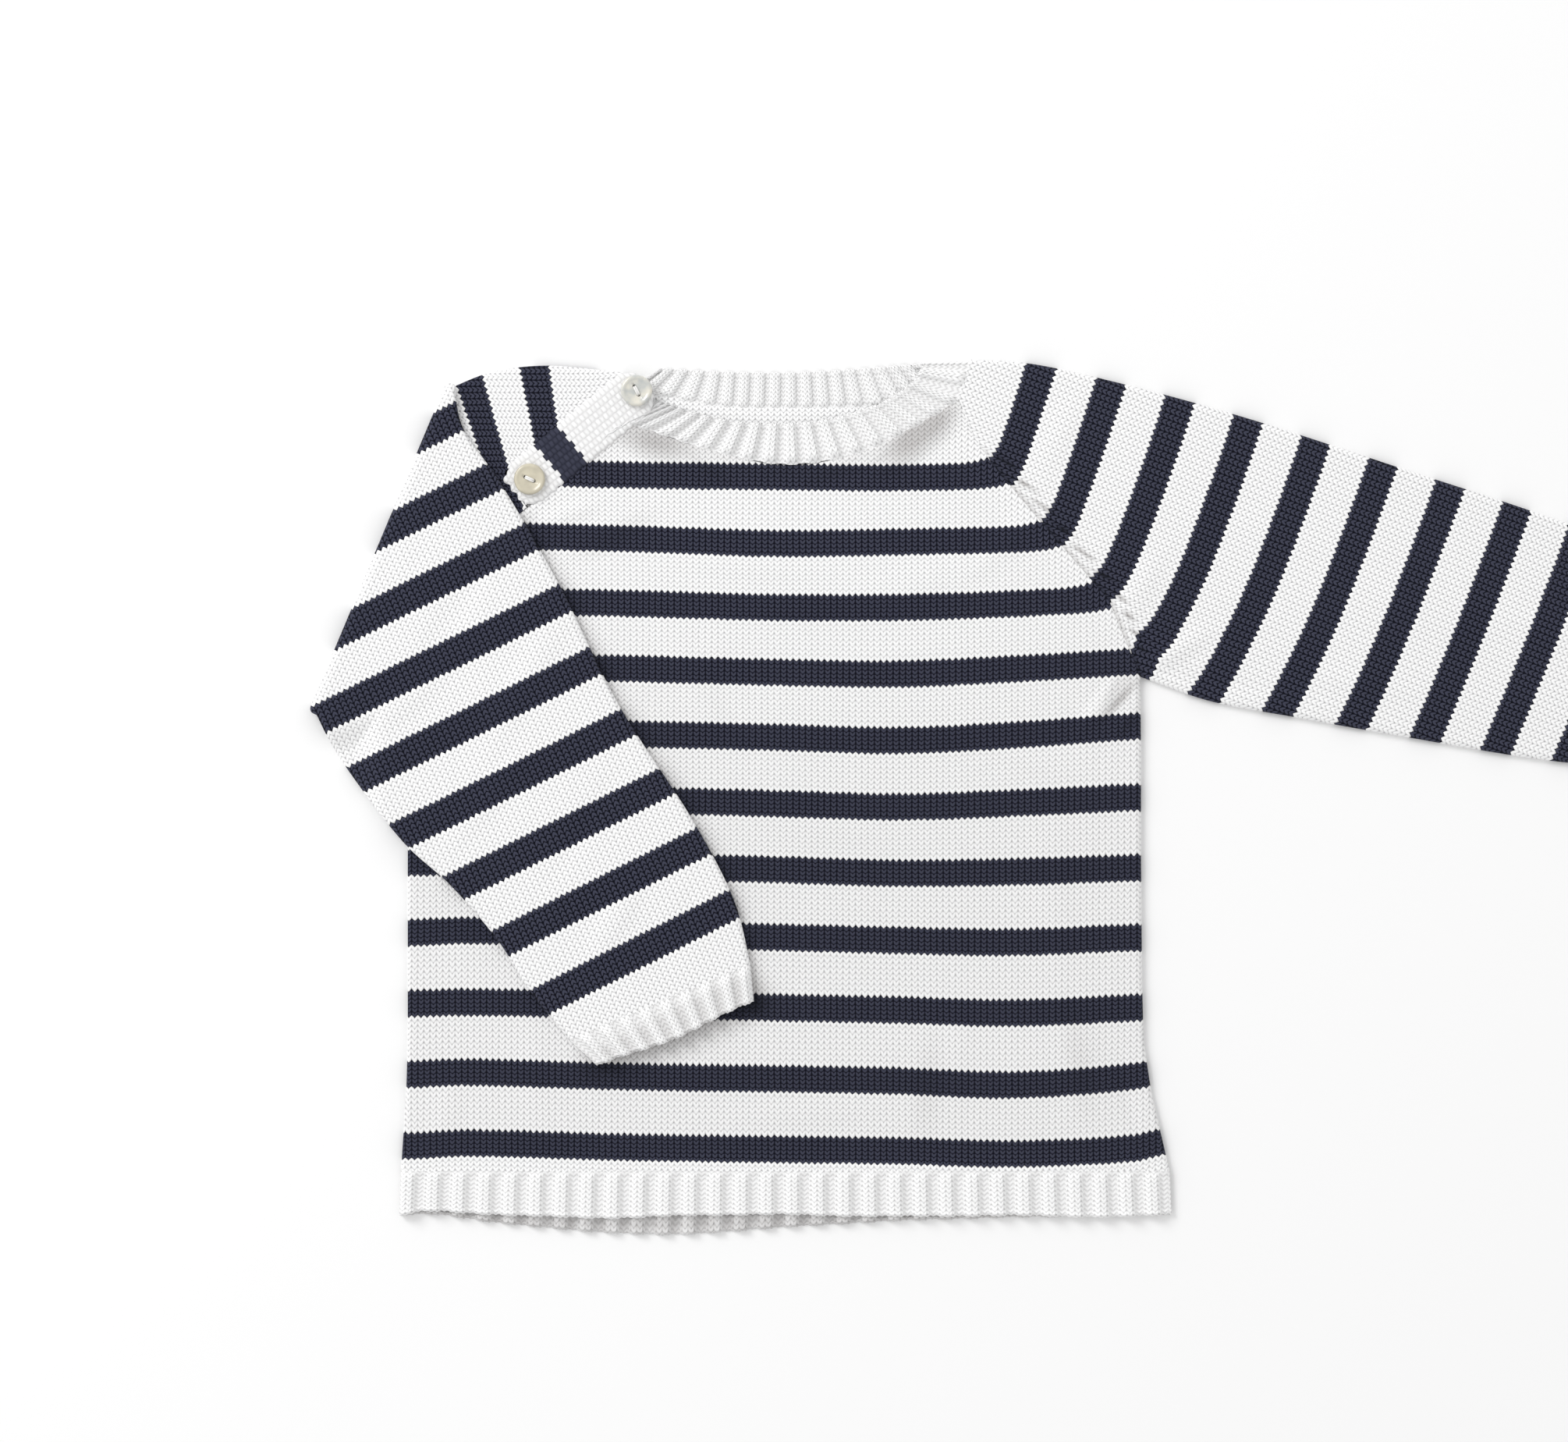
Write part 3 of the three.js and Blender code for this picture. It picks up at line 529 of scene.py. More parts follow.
# %% [markdown]
# ## Tubes laid flat
# A sleeve is a tube. Laid down it is two layers that meet in a round fold at each side. The grid
# runs once round the tube: over the upper layer from the lower fold to the upper one, and back
# under it. Its ends stay open, as a sleeve's do, and the cuff's rib closes over them.


# %% Tube builder
def round_tube(u):
    """Where a column of a tube lies: its share across, and +1 on the upper layer or -1 below."""
    upper = u < 0.5
    turn = u * 2 if upper else 2 - u * 2
    return 0.5 - 0.5 * math.cos(math.pi * turn), (1 if upper else -1)


def layer_height(share, side, width, low, top, crown=0.0, radius=2.2):
    """The height of a flattened tube's upper or lower layer at a share across it."""
    edge = min(share, 1 - share) * width
    middle = (low + top) / 2
    rise = rounded(edge, radius) * (top - low) / 2
    if side > 0:
        return middle + rise + crown * math.sin(math.pi * share) ** 0.8
    return middle - rise


print("tube helpers ready")

# %% [markdown]
# ## Right sleeve
# It runs out to the right from the raglan seam. Its stripes stand across it, and bend a little
# towards the body at both folds, because the tube is wider below than above.

# %% Right sleeve
RIGHT_RAGLAN = (
    (76.2, 329.6), (71.3, 315), (76.4, 302), (84.2, 289.6), (95.5, 276.2), (108.2, 261.2),
    (129.2, 237.2), (141.3, 207.8),
)
RIGHT_UPPER = (
    (76.2, 329.6), (102, 327.6), (142.8, 318.2), (186, 306), (240, 288.4), (300, 268.6),
    (381, 239.5),
)
RIGHT_LOWER = (
    (141.3, 207.8), (168.3, 198.4), (202.2, 192), (238, 185.6), (300, 175.4), (355.5, 171.5),
)
RIGHT_CREASES = (
    # x, y, half length, half width, turn in degrees, height
    (152, 216, 26, 6, 30, 1.2), (170, 205, 30, 5, -8, -0.6), (140, 240, 26, 8, 60, 0.7),
    (190, 262, 40, 9, -20, 0.5), (240, 235, 46, 10, -24, 0.5), (300, 225, 50, 10, -16, 0.6),
    (225, 205, 36, 6, -10, 0.5), (110, 300, 26, 9, 60, 0.6), (345, 215, 36, 9, -24, 0.5),
)
STRIPE_PITCH = 26.8
RIGHT_ACROSS = Vector((0.931, -0.365))
RIGHT_FIRST = -21.25
RIGHT_CROWN = 0.9
BOW_LEAST, BOW_MOST = 0.02, 0.3


def sleeve_net(raglan, upper, lower, reach):
    """Lines across a sleeve that leave the raglan's own shape behind by the given reach."""
    start, top_edge, low_edge = measured_line(raglan), smooth_line(upper), smooth_line(lower)

    def at(share, v):
        straight = top_edge(v).lerp(low_edge(v), share)
        bend = start(share) - top_edge(0).lerp(low_edge(0), share)
        return straight + bend * max(0.0, 1 - v / reach)

    return at


right_net = sleeve_net(RIGHT_RAGLAN, RIGHT_UPPER, RIGHT_LOWER, 1 / 3)


def right_place(u, v):
    """A point of the right sleeve, on its upper layer or the one below."""
    share, side = round_tube(u)
    point = right_net(share, v)
    width = (right_net(0, v) - right_net(1, v)).length
    crown = RIGHT_CROWN * soft_step(0, 0.1, v)
    z = layer_height(share, side, width, ABOVE_TABLE, FRONT_TOP, crown=crown)
    if side > 0:
        edge = min(share, 1 - share) * width
        z += crease_height(RIGHT_CREASES, point.x, point.y) * soft_step(0, 12, edge)
        z -= SEAM_STEP * (1 - soft_step(0, 0.008, v))
    return point.x, point.y, z


def right_stitches(u, v, point):
    """The stitch counts on the right sleeve, its stripes bowed towards the body at both folds."""
    slip = raglan_slip(point[0], point[1])
    x, y = point[0] - slip[0], point[1] - slip[1]
    share, _ = round_tube(u)
    along = RIGHT_ACROSS.x * x + RIGHT_ACROSS.y * y
    across = -RIGHT_ACROSS.y * x + RIGHT_ACROSS.x * y
    low_bow = min(max(BOW_LEAST, 0.24 - (along - 52.8) * 0.0019), BOW_MOST)
    top_bow = max(BOW_LEAST, 0.1 - (along + 24) * 0.00047)
    bow = (low_bow if share > 0.5 else top_bow) * (2 * share - 1) ** 2
    stripe = (along - RIGHT_FIRST) / STRIPE_PITCH + bow
    return across / WALE, stripe * STRIPE_REPEAT + NAVY_COURSES / 2


def raglan_painted_shade(x, y):
    """Painted shade on the raglan seam, and in beats at lumps where stitches were taken in."""
    from_seam = distance_to(RIGHT_RAGLAN[3:], x, y)
    beside = max(0.0, 1 - from_seam / 2.2)
    lump = max(0.0, 1 - abs(from_seam - 4.6) / 2.4)
    beat = max(0.0, math.sin(y * 1.15 + x * 0.5))
    return 0.65 * beside + 1.25 * lump * beat * soft_step(212, 222, y)


right_sleeve = knitted_grid("right_sleeve_tube", 140, 230, right_place, right_stitches, tube=True,
                            thickness=TUBE_WALL, painted_shade=raglan_painted_shade)
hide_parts("right_sleeve")

# %% [markdown]
# ## Left sleeve
# It leaves the left raglan, turns round a fold and comes back over the front. The fold is a half
# circle about an axis, so the same flat tube is bent through three stretches: the part that still
# lies on the table, the turn, and the part on top. Past the body's side it sinks to the table.

# %% Left sleeve tables
LEFT_RAGLAN = (
    (-57.2, 324.6), (-81, 302.4), (-103.8, 285.8), (-94, 272.9), (-107.4, 261.9), (-129.2, 236.9),
    (-141, 207.5),
)
FOLD_UPPER = Vector((-125, 321))
FOLD_LOWER = Vector((-178, 194.5))
LEFT_TOP = ((-57.2, 324.6), (-86, 327.3), (-107, 325))
FOLDED_INNER = SLEEVE_EDGE[:-1]
FOLDED_OUTER = ((-164.4, 174), (-142, 145), (-123, 127.5), (-105, 106.5), (-95, 90.3), (-78, 68.7))
FOLD_RADIUS = (OVER_LOW + FRONT_TOP) / 2
LEFT_CREASES = (
    # x, y, half length, half width, turn in degrees, height
    (-142, 262, 40, 9, 66, 0.8), (-120, 235, 46, 8, 60, -0.5), (-95, 205, 46, 9, 62, 0.6),
    (-110, 160, 30, 8, 50, 0.6), (-72, 150, 40, 7, 58, -0.4), (-60, 115, 30, 8, 62, 0.7),
    (-140, 200, 26, 9, 40, 0.8), (-35, 112, 22, 6, 70, -0.4), (-150, 290, 24, 7, 68, 0.5),
)
BODY_SIDE = -141
DROOP_FROM, DROOP_TO = 8, 20
SLEEVE_WIDTH = 130.0
LEFT_CROWN = 0.6


# %% Left sleeve
def droop(x, y):
    """How high the folded sleeve's underside lies: on the front, or down on the table beside it."""
    along = Vector((37.0, 13.1)).normalized()
    past_sleeve = -(along.x * (y - FOLD_LOWER.y) - along.y * (x - FOLD_LOWER.x))
    outside = min(BODY_SIDE - x, past_sleeve)
    return OVER_LOW * (1 - soft_step(DROOP_FROM, DROOP_TO, outside))


along_fold = (FOLD_LOWER - FOLD_UPPER).normalized()
outward = Vector((along_fold.y, -along_fold.x))
axis_from = FOLD_UPPER - outward * FOLD_RADIUS
axis_to = FOLD_LOWER - outward * FOLD_RADIUS
base_raglan = measured_line(LEFT_RAGLAN)
base_upper = smooth_line([*LEFT_TOP, axis_from])
base_lower = measured_line([LEFT_RAGLAN[-1], axis_to])
folded_inner = smooth_line([axis_from, *FOLDED_INNER])
folded_outer = smooth_line([axis_to, *FOLDED_OUTER])
BASE_SHARE = 0.16
TURN_SHARE = 0.2


def left_place(u, v):
    """A point of the left sleeve: on the table, in the turn, or on top of the front."""
    share, side = round_tube(u)
    folded_width = (folded_inner(0.5) - folded_outer(0.5)).length
    width = SLEEVE_WIDTH if v < TURN_SHARE else folded_width
    height = layer_height(share, side, width, 0.0, FRONT_TOP)
    if v <= BASE_SHARE:
        s = v / BASE_SHARE
        straight = base_upper(s).lerp(base_lower(s), share)
        bend = base_raglan(share) - base_upper(0).lerp(base_lower(0), share)
        point = straight + bend * (1 - s)
        if side > 0:
            height -= SEAM_STEP * (1 - soft_step(0, 0.01, v))
        return point.x, point.y, height
    axis = axis_from.lerp(axis_to, share)
    if v < TURN_SHARE:
        angle = math.pi * (v - BASE_SHARE) / (TURN_SHARE - BASE_SHARE)
        radius = FOLD_RADIUS - height
        point = axis + outward * radius * math.sin(angle)
        return point.x, point.y, FOLD_RADIUS - radius * math.cos(angle)
    s = (v - TURN_SHARE) / (1 - TURN_SHARE)
    point = folded_inner(s).lerp(folded_outer(s), share)
    level = droop(point.x, point.y)
    top = level + FRONT_TOP - height
    if side < 0:
        edge = min(share, 1 - share) * width
        grow = soft_step(0, 0.15, s)
        puffs = crease_height(LEFT_CREASES, point.x, point.y) * soft_step(0, PUFF_REACH, edge)
        top += grow * (LEFT_CROWN * math.sin(math.pi * share) ** 0.8 + puffs)
    return point.x, point.y, top


FOLDED_ACROSS = Vector((0.4135, -0.9105))
FOLDED_MARK = Vector((-128.55, 273))
FOLDED_PITCH = 26.69
FOLDED_BOW = 0.065
MARK_STRIPE = 3


def left_stitches(u, v, point):
    """The stitch counts on the left sleeve, which change over in the turn."""
    x, y, _ = point
    share, side = round_tube(u)
    if v <= BASE_SHARE + 0.3 * (TURN_SHARE - BASE_SHARE) and side > 0:
        slip = raglan_slip(x, y)
        x, y = x - slip[0], y - slip[1]
        # where the first two stripes of the base stand at this height
        first = -90.75 + (327 - y) / 6
        second = -116.1 + (322.8 - y) * 0.309
        stripe = (first - x) / (first - second)
        return y / WALE, stripe * STRIPE_REPEAT + NAVY_COURSES / 2
    offset = Vector((x, y)) - FOLDED_MARK
    along = FOLDED_ACROSS.dot(offset)
    across = FOLDED_ACROSS.y * offset.x - FOLDED_ACROSS.x * offset.y
    stripe = MARK_STRIPE + along / FOLDED_PITCH + FOLDED_BOW * (1 - 2 * share)
    return across / WALE, stripe * STRIPE_REPEAT + NAVY_COURSES / 2


left_sleeve = knitted_grid("left_sleeve_tube", 110, 250, left_place, left_stitches, tube=True,
                           thickness=TUBE_WALL)
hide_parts("left_sleeve")

# %% [markdown]
# ## Ribbed edges
# A two by two rib is two knit wales that stand up and two purl wales that sink between them.
# Its cast-on edge is a row of small loops, so the edge is drawn in and out once for each wale.


# %% Rib shape
def rib_height(wales):
    """How far a two by two rib is raised, 1 on its pair of knit wales and 0 in the valley."""
    place = (wales % 4) / 4
    return (soft_step(-0.04, 0.14, place) * (1 - soft_step(0.46, 0.66, place))
            + soft_step(0.96, 1.14, place))


def loop_edge(wales, distance):
    """How far the cast-on edge is drawn in: a little by each loop, and more where the rib sinks."""
    loops = 0.4 * abs(math.sin(math.pi * wales)) + 0.3 * (1 - rib_height(wales))
    return loops * (1 - soft_step(0, 3, distance))


def cast_on_bead(wales, distance):
    """How far the cast-on edge's own round bead of loops rises, a lump for each wale."""
    bead = soft_step(0, 0.9, distance) * (1 - soft_step(1.1, 2.4, distance))
    return bead * (0.25 + 0.35 * abs(math.cos(math.pi * wales)))


# %% Hem ribs
HEM_RIBS = 30
HEM_SEAM = 17.9
HEM_LEFT = -142.6
HEM_WIDTH = 295.2
BACK_HEM_EDGE = (
    (-143.2, 0.6), (-128, 0.6), (-105, -2.4), (-80, -5), (-55, -6.6), (-36, -7), (-7, -5),
    (33, -2.4), (80, -0.6), (153, 0.6),
)


def hem_rib(name, edge_points, low, valley, ripple, painted_shade=None):
    """A strip of rib from its cast-on edge up to the seam with the panel."""
    edge = smooth_line(edge_points)

    def place(u, v):
        wales = u * HEM_RIBS * 4
        foot = edge(u)
        head = Vector((HEM_LEFT + HEM_WIDTH * u, HEM_SEAM + SEAM_OVERLAP))
        point = foot.lerp(head, v)
        from_edge = v * (head.y - foot.y)
        point.y += loop_edge(wales, from_edge) + ripple * math.sin(u * 41) * (1 - v)
        side = min(u, 1 - u) * 295
        sewn = 1 - soft_step(0.02, 0.2, 1 - v)
        high = valley + RIB_RISE * rib_height(wales) * (1 - sewn)
        high += (WALL - SEAM_STEP - valley) * sewn
        high += cast_on_bead(wales, from_edge)
        high *= 0.35 + 0.65 * rounded(side, EDGE_RADIUS)
        high *= 0.45 + 0.55 * rounded(from_edge, LOOP_RADIUS)
        return point.x, point.y, low + high

    def stitches(u, v, point):
        return u * HEM_RIBS * 4, v * 10

    return knitted_grid(name, HEM_RIBS * 12, 30, place, stitches, painted_shade=painted_shade,
                        underside=low + UNDERSIDE)


def under_front_hem(x, y):
    """The front hem's shade on the back one, less where the back one runs out from under it."""
    return 0.63 - 0.26 * soft_step(-2, -8, y) + 0.13 * math.sin(x * 0.7) * math.sin(x * 0.23)


FRONT_HEM_EDGE = (
    (-143.2, 0.6), (-132, 2.2), (-118, 1.6), (-90, 0.2), (-60, -0.4), (-30, 0.6), (0, 0.9),
    (45, 0.2), (90, 0.6), (130, 0), (153.4, 1.0),
)
front_hem = hem_rib("front_hem_rib_knit", FRONT_HEM_EDGE, FRONT_LOW, RIB_VALLEY, 0.15)
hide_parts("front_hem_rib")
back_hem = hem_rib("back_hem_rib_knit", BACK_HEM_EDGE, 0.0, 0.8, 0.1, under_front_hem)
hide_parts("back_hem_rib")

# %% Cuffs
CUFF_RIBS = 9
CUFF_RISE = 2.0
CUFF_SINK = 0.5
CUFF_BOW = 1.2
CUFF_WALL = 1.3


def cuff(name, seam, end, low, crown):
    """A short ribbed tube from the sleeve's end to its cast-on edge."""
    seam_upper, seam_lower, end_upper, end_lower = (Vector(p) for p in (*seam, *end))

    def place(u, v):
        share, side = round_tube(u)
        length = ((end_upper + end_lower) - (seam_upper + seam_lower)).length / 2
        down = v * (1 + SEAM_OVERLAP / length) - SEAM_OVERLAP / length
        upper, lower = seam_upper.lerp(end_upper, down), seam_lower.lerp(end_lower, down)
        width = (upper - lower).length
        wales = share * CUFF_RIBS * 4
        point = upper.lerp(lower, share)
        from_edge = (1 - v) * length
        back = ((seam_upper + seam_lower) - (end_upper + end_lower)).normalized()
        point += back * (loop_edge(wales, from_edge) + 0.5 * math.sin(share * 9) * v)
        point += back * (-CUFF_BOW * math.sin(math.pi * share) * v)
        z = layer_height(share, side, width, low, low + FRONT_TOP, crown=crown)
        edge = min(share, 1 - share) * width
        start = soft_step(0, 4.0, v * length)
        if side > 0:
            z += (CUFF_RISE * rib_height(wales) - CUFF_SINK) * soft_step(0, 3, edge) * start
            z += cast_on_bead(wales, from_edge) - SEAM_STEP * (1 - start)
        z -= side * 0.45 * (1 - rounded(from_edge, LOOP_RADIUS))
        return point.x, point.y, max(z, low + UNDERSIDE)

    def stitches(u, v, point):
        share, side = round_tube(u)
        return share * CUFF_RIBS * 4 * side, v * 8

    def valleys(x, y):
        """The soft shade between the ribs, which grows from the seam to the cast-on edge."""
        down = Vector((x, y)) - seam_upper
        along = (end_upper + end_lower - seam_upper - seam_lower) / 2
        v = min(max(down.dot(along) / along.length_squared, 0.0), 1.0)
        upper, across = seam_upper.lerp(end_upper, v), seam_lower.lerp(end_lower, v)
        across = across - upper
        share = (Vector((x, y)) - upper).dot(across) / across.length_squared
        return 0.3 * (1 - rib_height(share * CUFF_RIBS * 4)) * soft_step(0, 0.3, v)

    return knitted_grid(name, CUFF_RIBS * 24, 20, place, stitches, tube=True, thickness=CUFF_WALL,
                        painted_shade=valleys)


RIGHT_CUFF_EDGE = ((394.4, 231.6), (371.4, 171))
LEFT_CUFF_EDGE = (CUFF_EDGE[0], CUFF_EDGE[-1])
right_cuff = cuff("right_cuff_rib", (RIGHT_UPPER[-1], RIGHT_LOWER[-1]), RIGHT_CUFF_EDGE,
                  ABOVE_TABLE, RIGHT_CROWN)
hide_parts("right_cuff")
left_cuff = cuff("left_cuff_rib", (FOLDED_INNER[-1], FOLDED_OUTER[-1]), LEFT_CUFF_EDGE,
                 OVER_LOW, LEFT_CROWN)
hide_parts("left_cuff")

# %% [markdown]
# ## Neckband
# One strip of rib runs round the neck from the placket to the left shoulder. Its front half lies
# above, its ribs fanned out, and turns over at the right shoulder, so that the back half shows
# its inner side.

# %% Neckband
NECK_FRONT = (
    # rib, free edge x, free edge y, seam x, seam y
    (0, -44.6, 314.4, -70.8, 293.2), (2.2, -40, 312.8, -62, 302.2), (3.8, -36, 311.5, -52.6, 303.8),
    (5.4, -29, 309.2, -41, 300.4), (8, -14, 306.2, -20.2, 293.8), (11, 5, 305.3, 5, 289.6),
    (14, 24, 307.6, 30.4, 293), (17, 42, 313.5, 53.8, 302.8), (19.5, 53, 320.8, 71.2, 314.4),
    (21, 57.5, 327.6, 76, 327.9),
)
NECK_BACK = (
    (0, 57.5, 327.6, 76, 327.9), (2.4, 49, 327.4, 61, 312.9), (6, 30, 325.8, 33, 311.5),
    (10.4, 5, 324.6, 5, 311), (14.7, -20, 325, -22, 311.9), (19, -43, 326.2, -54, 318.4),
)
FRONT_NECK_RIBS = 21
BACK_NECK_RIBS = 19
TURN_WALES = 1.0
NECK_WALES = 4 * FRONT_NECK_RIBS + TURN_WALES + 4 * BACK_NECK_RIBS
BAND_WIDTH = 16.0
NECK_WALL = 0.4


def neck_line(rows, rib):
    """The neckband's seam and free edge at a rib, on smooth lines through the rows."""
    where = read_table([(row[0], i) for i, row in enumerate(rows)], rib)[0]
    seam, free = [row[3:] for row in rows], [row[1:3] for row in rows]
    return line_point(seam, where), line_point(free, where)


def neck_place(u, v):
    """A point of the neckband: along the front, through the turn, or back behind the neck."""
    from_edge = (1 - v) * BAND_WIDTH
    wales = u * NECK_WALES
    front_end = 4 * FRONT_NECK_RIBS
    fanned = soft_step(0, 1.5, wales) * (0.15 + 0.85 * soft_step(3, 17, wales))
    lift = RIB_RISE * rib_height(wales) * fanned * (0.1 + 0.9 * soft_step(0, 0.16, v))
    thick = 0.94 + 0.06 * rounded(v * BAND_WIDTH, EDGE_RADIUS)
    thick *= 0.5 + 0.5 * rounded(from_edge, LOOP_RADIUS)
    bead = cast_on_bead(wales, from_edge) * 0.7
    if wales <= front_end:
        seam, free = neck_line(NECK_FRONT, wales / 4)
        up = (free - seam).normalized()
        point = seam.lerp(free, v) - up * loop_edge(wales, from_edge)
        point -= up * 0.5 * rib_height(wales) * (1 - soft_step(0, 0.25, v))
        on_panel = (1 - soft_step(8, 18, wales)) * (1 - soft_step(0.35, 1, v))
        settle = 0.85 + 0.3 * soft_step(0, 2, wales)
        level = FRONT_LOW + settle * on_panel
        return point.x, point.y, level + (RIB_VALLEY + lift * (1 - 0.4 * on_panel) + bead) * thick
    if wales < front_end + TURN_WALES:
        angle = math.pi * (wales - front_end) / TURN_WALES
        seam, free = neck_line(NECK_FRONT, FRONT_NECK_RIBS)
        point = seam.lerp(free, v)
        radius = (FRONT_LOW + RIB_VALLEY * thick) / 2
        out = radius * math.sin(angle) * 0.8
        return point.x, point.y + out, radius + radius * math.cos(angle) + ABOVE_TABLE
    rib = (wales - front_end - TURN_WALES) / 4
    seam, free = neck_line(NECK_BACK, rib)
    up = (free - seam).normalized()
    point = seam.lerp(free, v) - up * loop_edge(wales, from_edge) * 0.6
    height = (RIB_VALLEY + 0.7 * lift + bead) * thick - NECK_WALL
    return point.x, point.y, ABOVE_TABLE + height * soft_step(0, 1, rib)


def neck_stitches(u, v, point):
    """The stitch counts round the neckband."""
    return u * NECK_WALES, v * 8


neckband = knitted_grid("neckband_rib", int(NECK_WALES * 4), 24, neck_place, neck_stitches,
                        thickness=NECK_WALL)
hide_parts("neckband")

# %% [markdown]
# ## Placket bands
# The shoulder opens along the left raglan. The upper band is moss stitch, knit and purl turned
# about in both directions, and carries the buttonholes. The lower band lies hidden below it.

# %% Placket bands
PLACKET_TOP = Vector((-49, 319.9))
PLACKET_END = Vector((-98, 279.3))
PLACKET_WIDTH = 15.6
BAND_COURSES = 34


def placket_band(name, low, thick, flare):
    """A moss stitch band; its flared edges reach down to the cloth beside them."""
    along = (PLACKET_END - PLACKET_TOP).normalized()
    side = Vector((along.y, -along.x))
    length = (PLACKET_END - PLACKET_TOP).length

    def place(u, v):
        half = PLACKET_WIDTH / 2 + flare
        lumps = 0.3 * math.sin(v * BAND_COURSES * math.pi) + 0.35 * math.sin(v * 23 + u * 5)
        low_end = 1 - 0.3 * soft_step(0.86, 1, v) ** 2 - 0.35 * (1 - soft_step(0, 0.1, v)) ** 2
        across = (2 * u - 1) * half * low_end
        edge = min(u, 1 - u) * 2 * half
        end = min(v, 1 - v) * length
        across += math.copysign(lumps, across) * (1 - soft_step(0, 2.5, edge))
        reach = v * (length + flare) + 0.5 * math.sin(u * 19) * soft_step(0.9, 1, v)
        point = PLACKET_TOP + along * reach - side * across
        z = low + thick * (0.3 + 0.7 * rounded(edge, 3.6)) * (0.35 + 0.65 * rounded(end, 3.0))
        return point.x, point.y, z

    def stitches(u, v, point):
        return u * 7, v * BAND_COURSES

    return knitted_grid(name, 48, 160, place, stitches, underside=low + 0.1)


buttonhole_band = placket_band("buttonhole_band_moss", 3.3, 1.2, 1.3)
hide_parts("buttonhole_band")
button_band = placket_band("button_band_moss", 1.9, 1.0, 0.0)
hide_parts("button_band")

# %% [markdown]
# ## Shader maths as expressions
# A material is a small sum. This class wraps a node's socket, so that an expression such as
# `1 - groove * 0.4` adds the Math nodes by itself, and one method makes any other node.


# %% Values for materials
class Value:
    """A number that varies over the surface: a socket whose operators add Math nodes."""

    def __init__(self, cloth, socket):
        self.cloth = cloth
        self.socket = socket

    def math(self, operation, *others):
        inputs = {i: other for i, other in enumerate((self, *others))}
        return self.cloth.node("ShaderNodeMath", {"operation": operation}, inputs)

    def __add__(self, other):
        return self.math("ADD", other)

    __radd__ = __add__

    def __mul__(self, other):
        return self.math("MULTIPLY", other)

    __rmul__ = __mul__

    def __sub__(self, other):
        return self.math("SUBTRACT", other)

    def __rsub__(self, other):
        return self * -1 + other

    def __pow__(self, other):
        return self.math("POWER", other)

    def __mod__(self, other):
        return self.math("FLOORED_MODULO", other)

    def __lt__(self, other):
        return self.math("LESS_THAN", other)

    def __gt__(self, other):
        return self.math("GREATER_THAN", other)

    def __abs__(self):
        return self.math("ABSOLUTE")

    def floor(self):
        return self.math("FLOOR")

    def step(self, low, high):
        """0 below low, 1 above high, and a soft slope between."""
        settings = {"interpolation_type": "SMOOTHSTEP"}
        inputs = {"Value": self, "From Min": low, "From Max": high}
        return self.cloth.node("ShaderNodeMapRange", settings, inputs)


class Cloth:
    """A material and the methods that add nodes to it."""

    def __init__(self, name):
        self.material = bpy.data.materials.new(name)
        self.material.use_nodes = True
        self.tree = self.material.node_tree
        self.shader = self.tree.nodes["Principled BSDF"]

    def node(self, kind, settings=None, inputs=None, output=0):
        node = self.tree.nodes.new(kind)
        for key, setting in (settings or {}).items():
            setattr(node, key, setting)
        for key, given in (inputs or {}).items():
            if isinstance(given, Value):
                self.tree.links.new(given.socket, node.inputs[key])
            else:
                node.inputs[key].default_value = given
        return Value(self, node.outputs[output])

    def stitches(self):
        """The stitch counts, as a wale number and a course number."""
        counts = self.node("ShaderNodeUVMap", {"uv_map": "stitches"})
        split = self.node("ShaderNodeSeparateXYZ", {}, {0: counts}).socket.node
        return Value(self, split.outputs[0]), Value(self, split.outputs[1])

    def noise(self, scale, detail=2.0):
        place = self.node("ShaderNodeTexCoord", {}, {}, "Object")
        inputs = {"Vector": place, "Scale": scale, "Detail": detail}
        return self.node("ShaderNodeTexNoise", {}, inputs)

    def blend(self, factor, first, second):
        """A colour that goes from the first to the second."""
        inputs = {"Factor": factor, "A": first, "B": second}
        mix = self.tree.nodes.new("ShaderNodeMix")
        mix.data_type = "RGBA"
        for key, given in inputs.items():
            kinds = [s for s in mix.inputs if s.name == key and s.enabled]
            if isinstance(given, Value):
                self.tree.links.new(given.socket, kinds[0])
            else:
                kinds[0].default_value = given
        return Value(self, next(s for s in mix.outputs if s.enabled))

    def feed(self, name, value):
        self.tree.links.new(value.socket, self.shader.inputs[name])

    def bump(self, height, distance, strength=1.0):
        inputs = {"Height": height, "Distance": distance, "Strength": strength}
        self.feed("Normal", self.node("ShaderNodeBump", {}, inputs))


print("material helpers ready")

# %% [markdown]
# ## Stockinette
# Every stitch shows as a V with its tip down. Inside a wale the courses' borders therefore lean:
# they are low in the middle and high at both sides. Counting courses along that leaning line also
# gives the stripes their toothed edges, because a stripe is drawn as whole courses. Painted shade
# darkens the crevices between the wales, between a V's two legs, and where one V leaves the next.

# %% Stockinette material
# shade colours: painted shade in crevices; darkest colours: painted shade in dips and under pieces
WHITE = (0.935, 0.935, 0.935, 1)
WHITE_SHADE = (0.62, 0.615, 0.625, 1)
WHITE_DEEP_SHADE = (0.41, 0.395, 0.39, 1)
NAVY = (0.048, 0.051, 0.079, 1)
NAVY_SHADE = (0.0025, 0.003, 0.009, 1)
NAVY_DEEP_SHADE = (0.008, 0.009, 0.014, 1)
LEAN = 0.64
# a stronger painted crevice shade on the navy
NAVY_CONTRAST = 2.2


def v_stitches(wales, courses):
    """The height of V stitches, and the course number on the leaning line."""
    side = abs((wales % 1) * 2 - 1)
    leaning = courses - side * LEAN
    across_yarn = abs((leaning % 1) * 2 - 1)
    between_wales = side.step(0.56, 1.0)
    between_legs = 1 - side.step(0.0, 0.3)
    crevice = between_wales * (0.3 + 0.35 * across_yarn ** 2)
    crevice = crevice + between_legs * across_yarn ** 2 * 0.3 + across_yarn ** 3 * 0.5
    return 1 - crevice, leaning.floor()


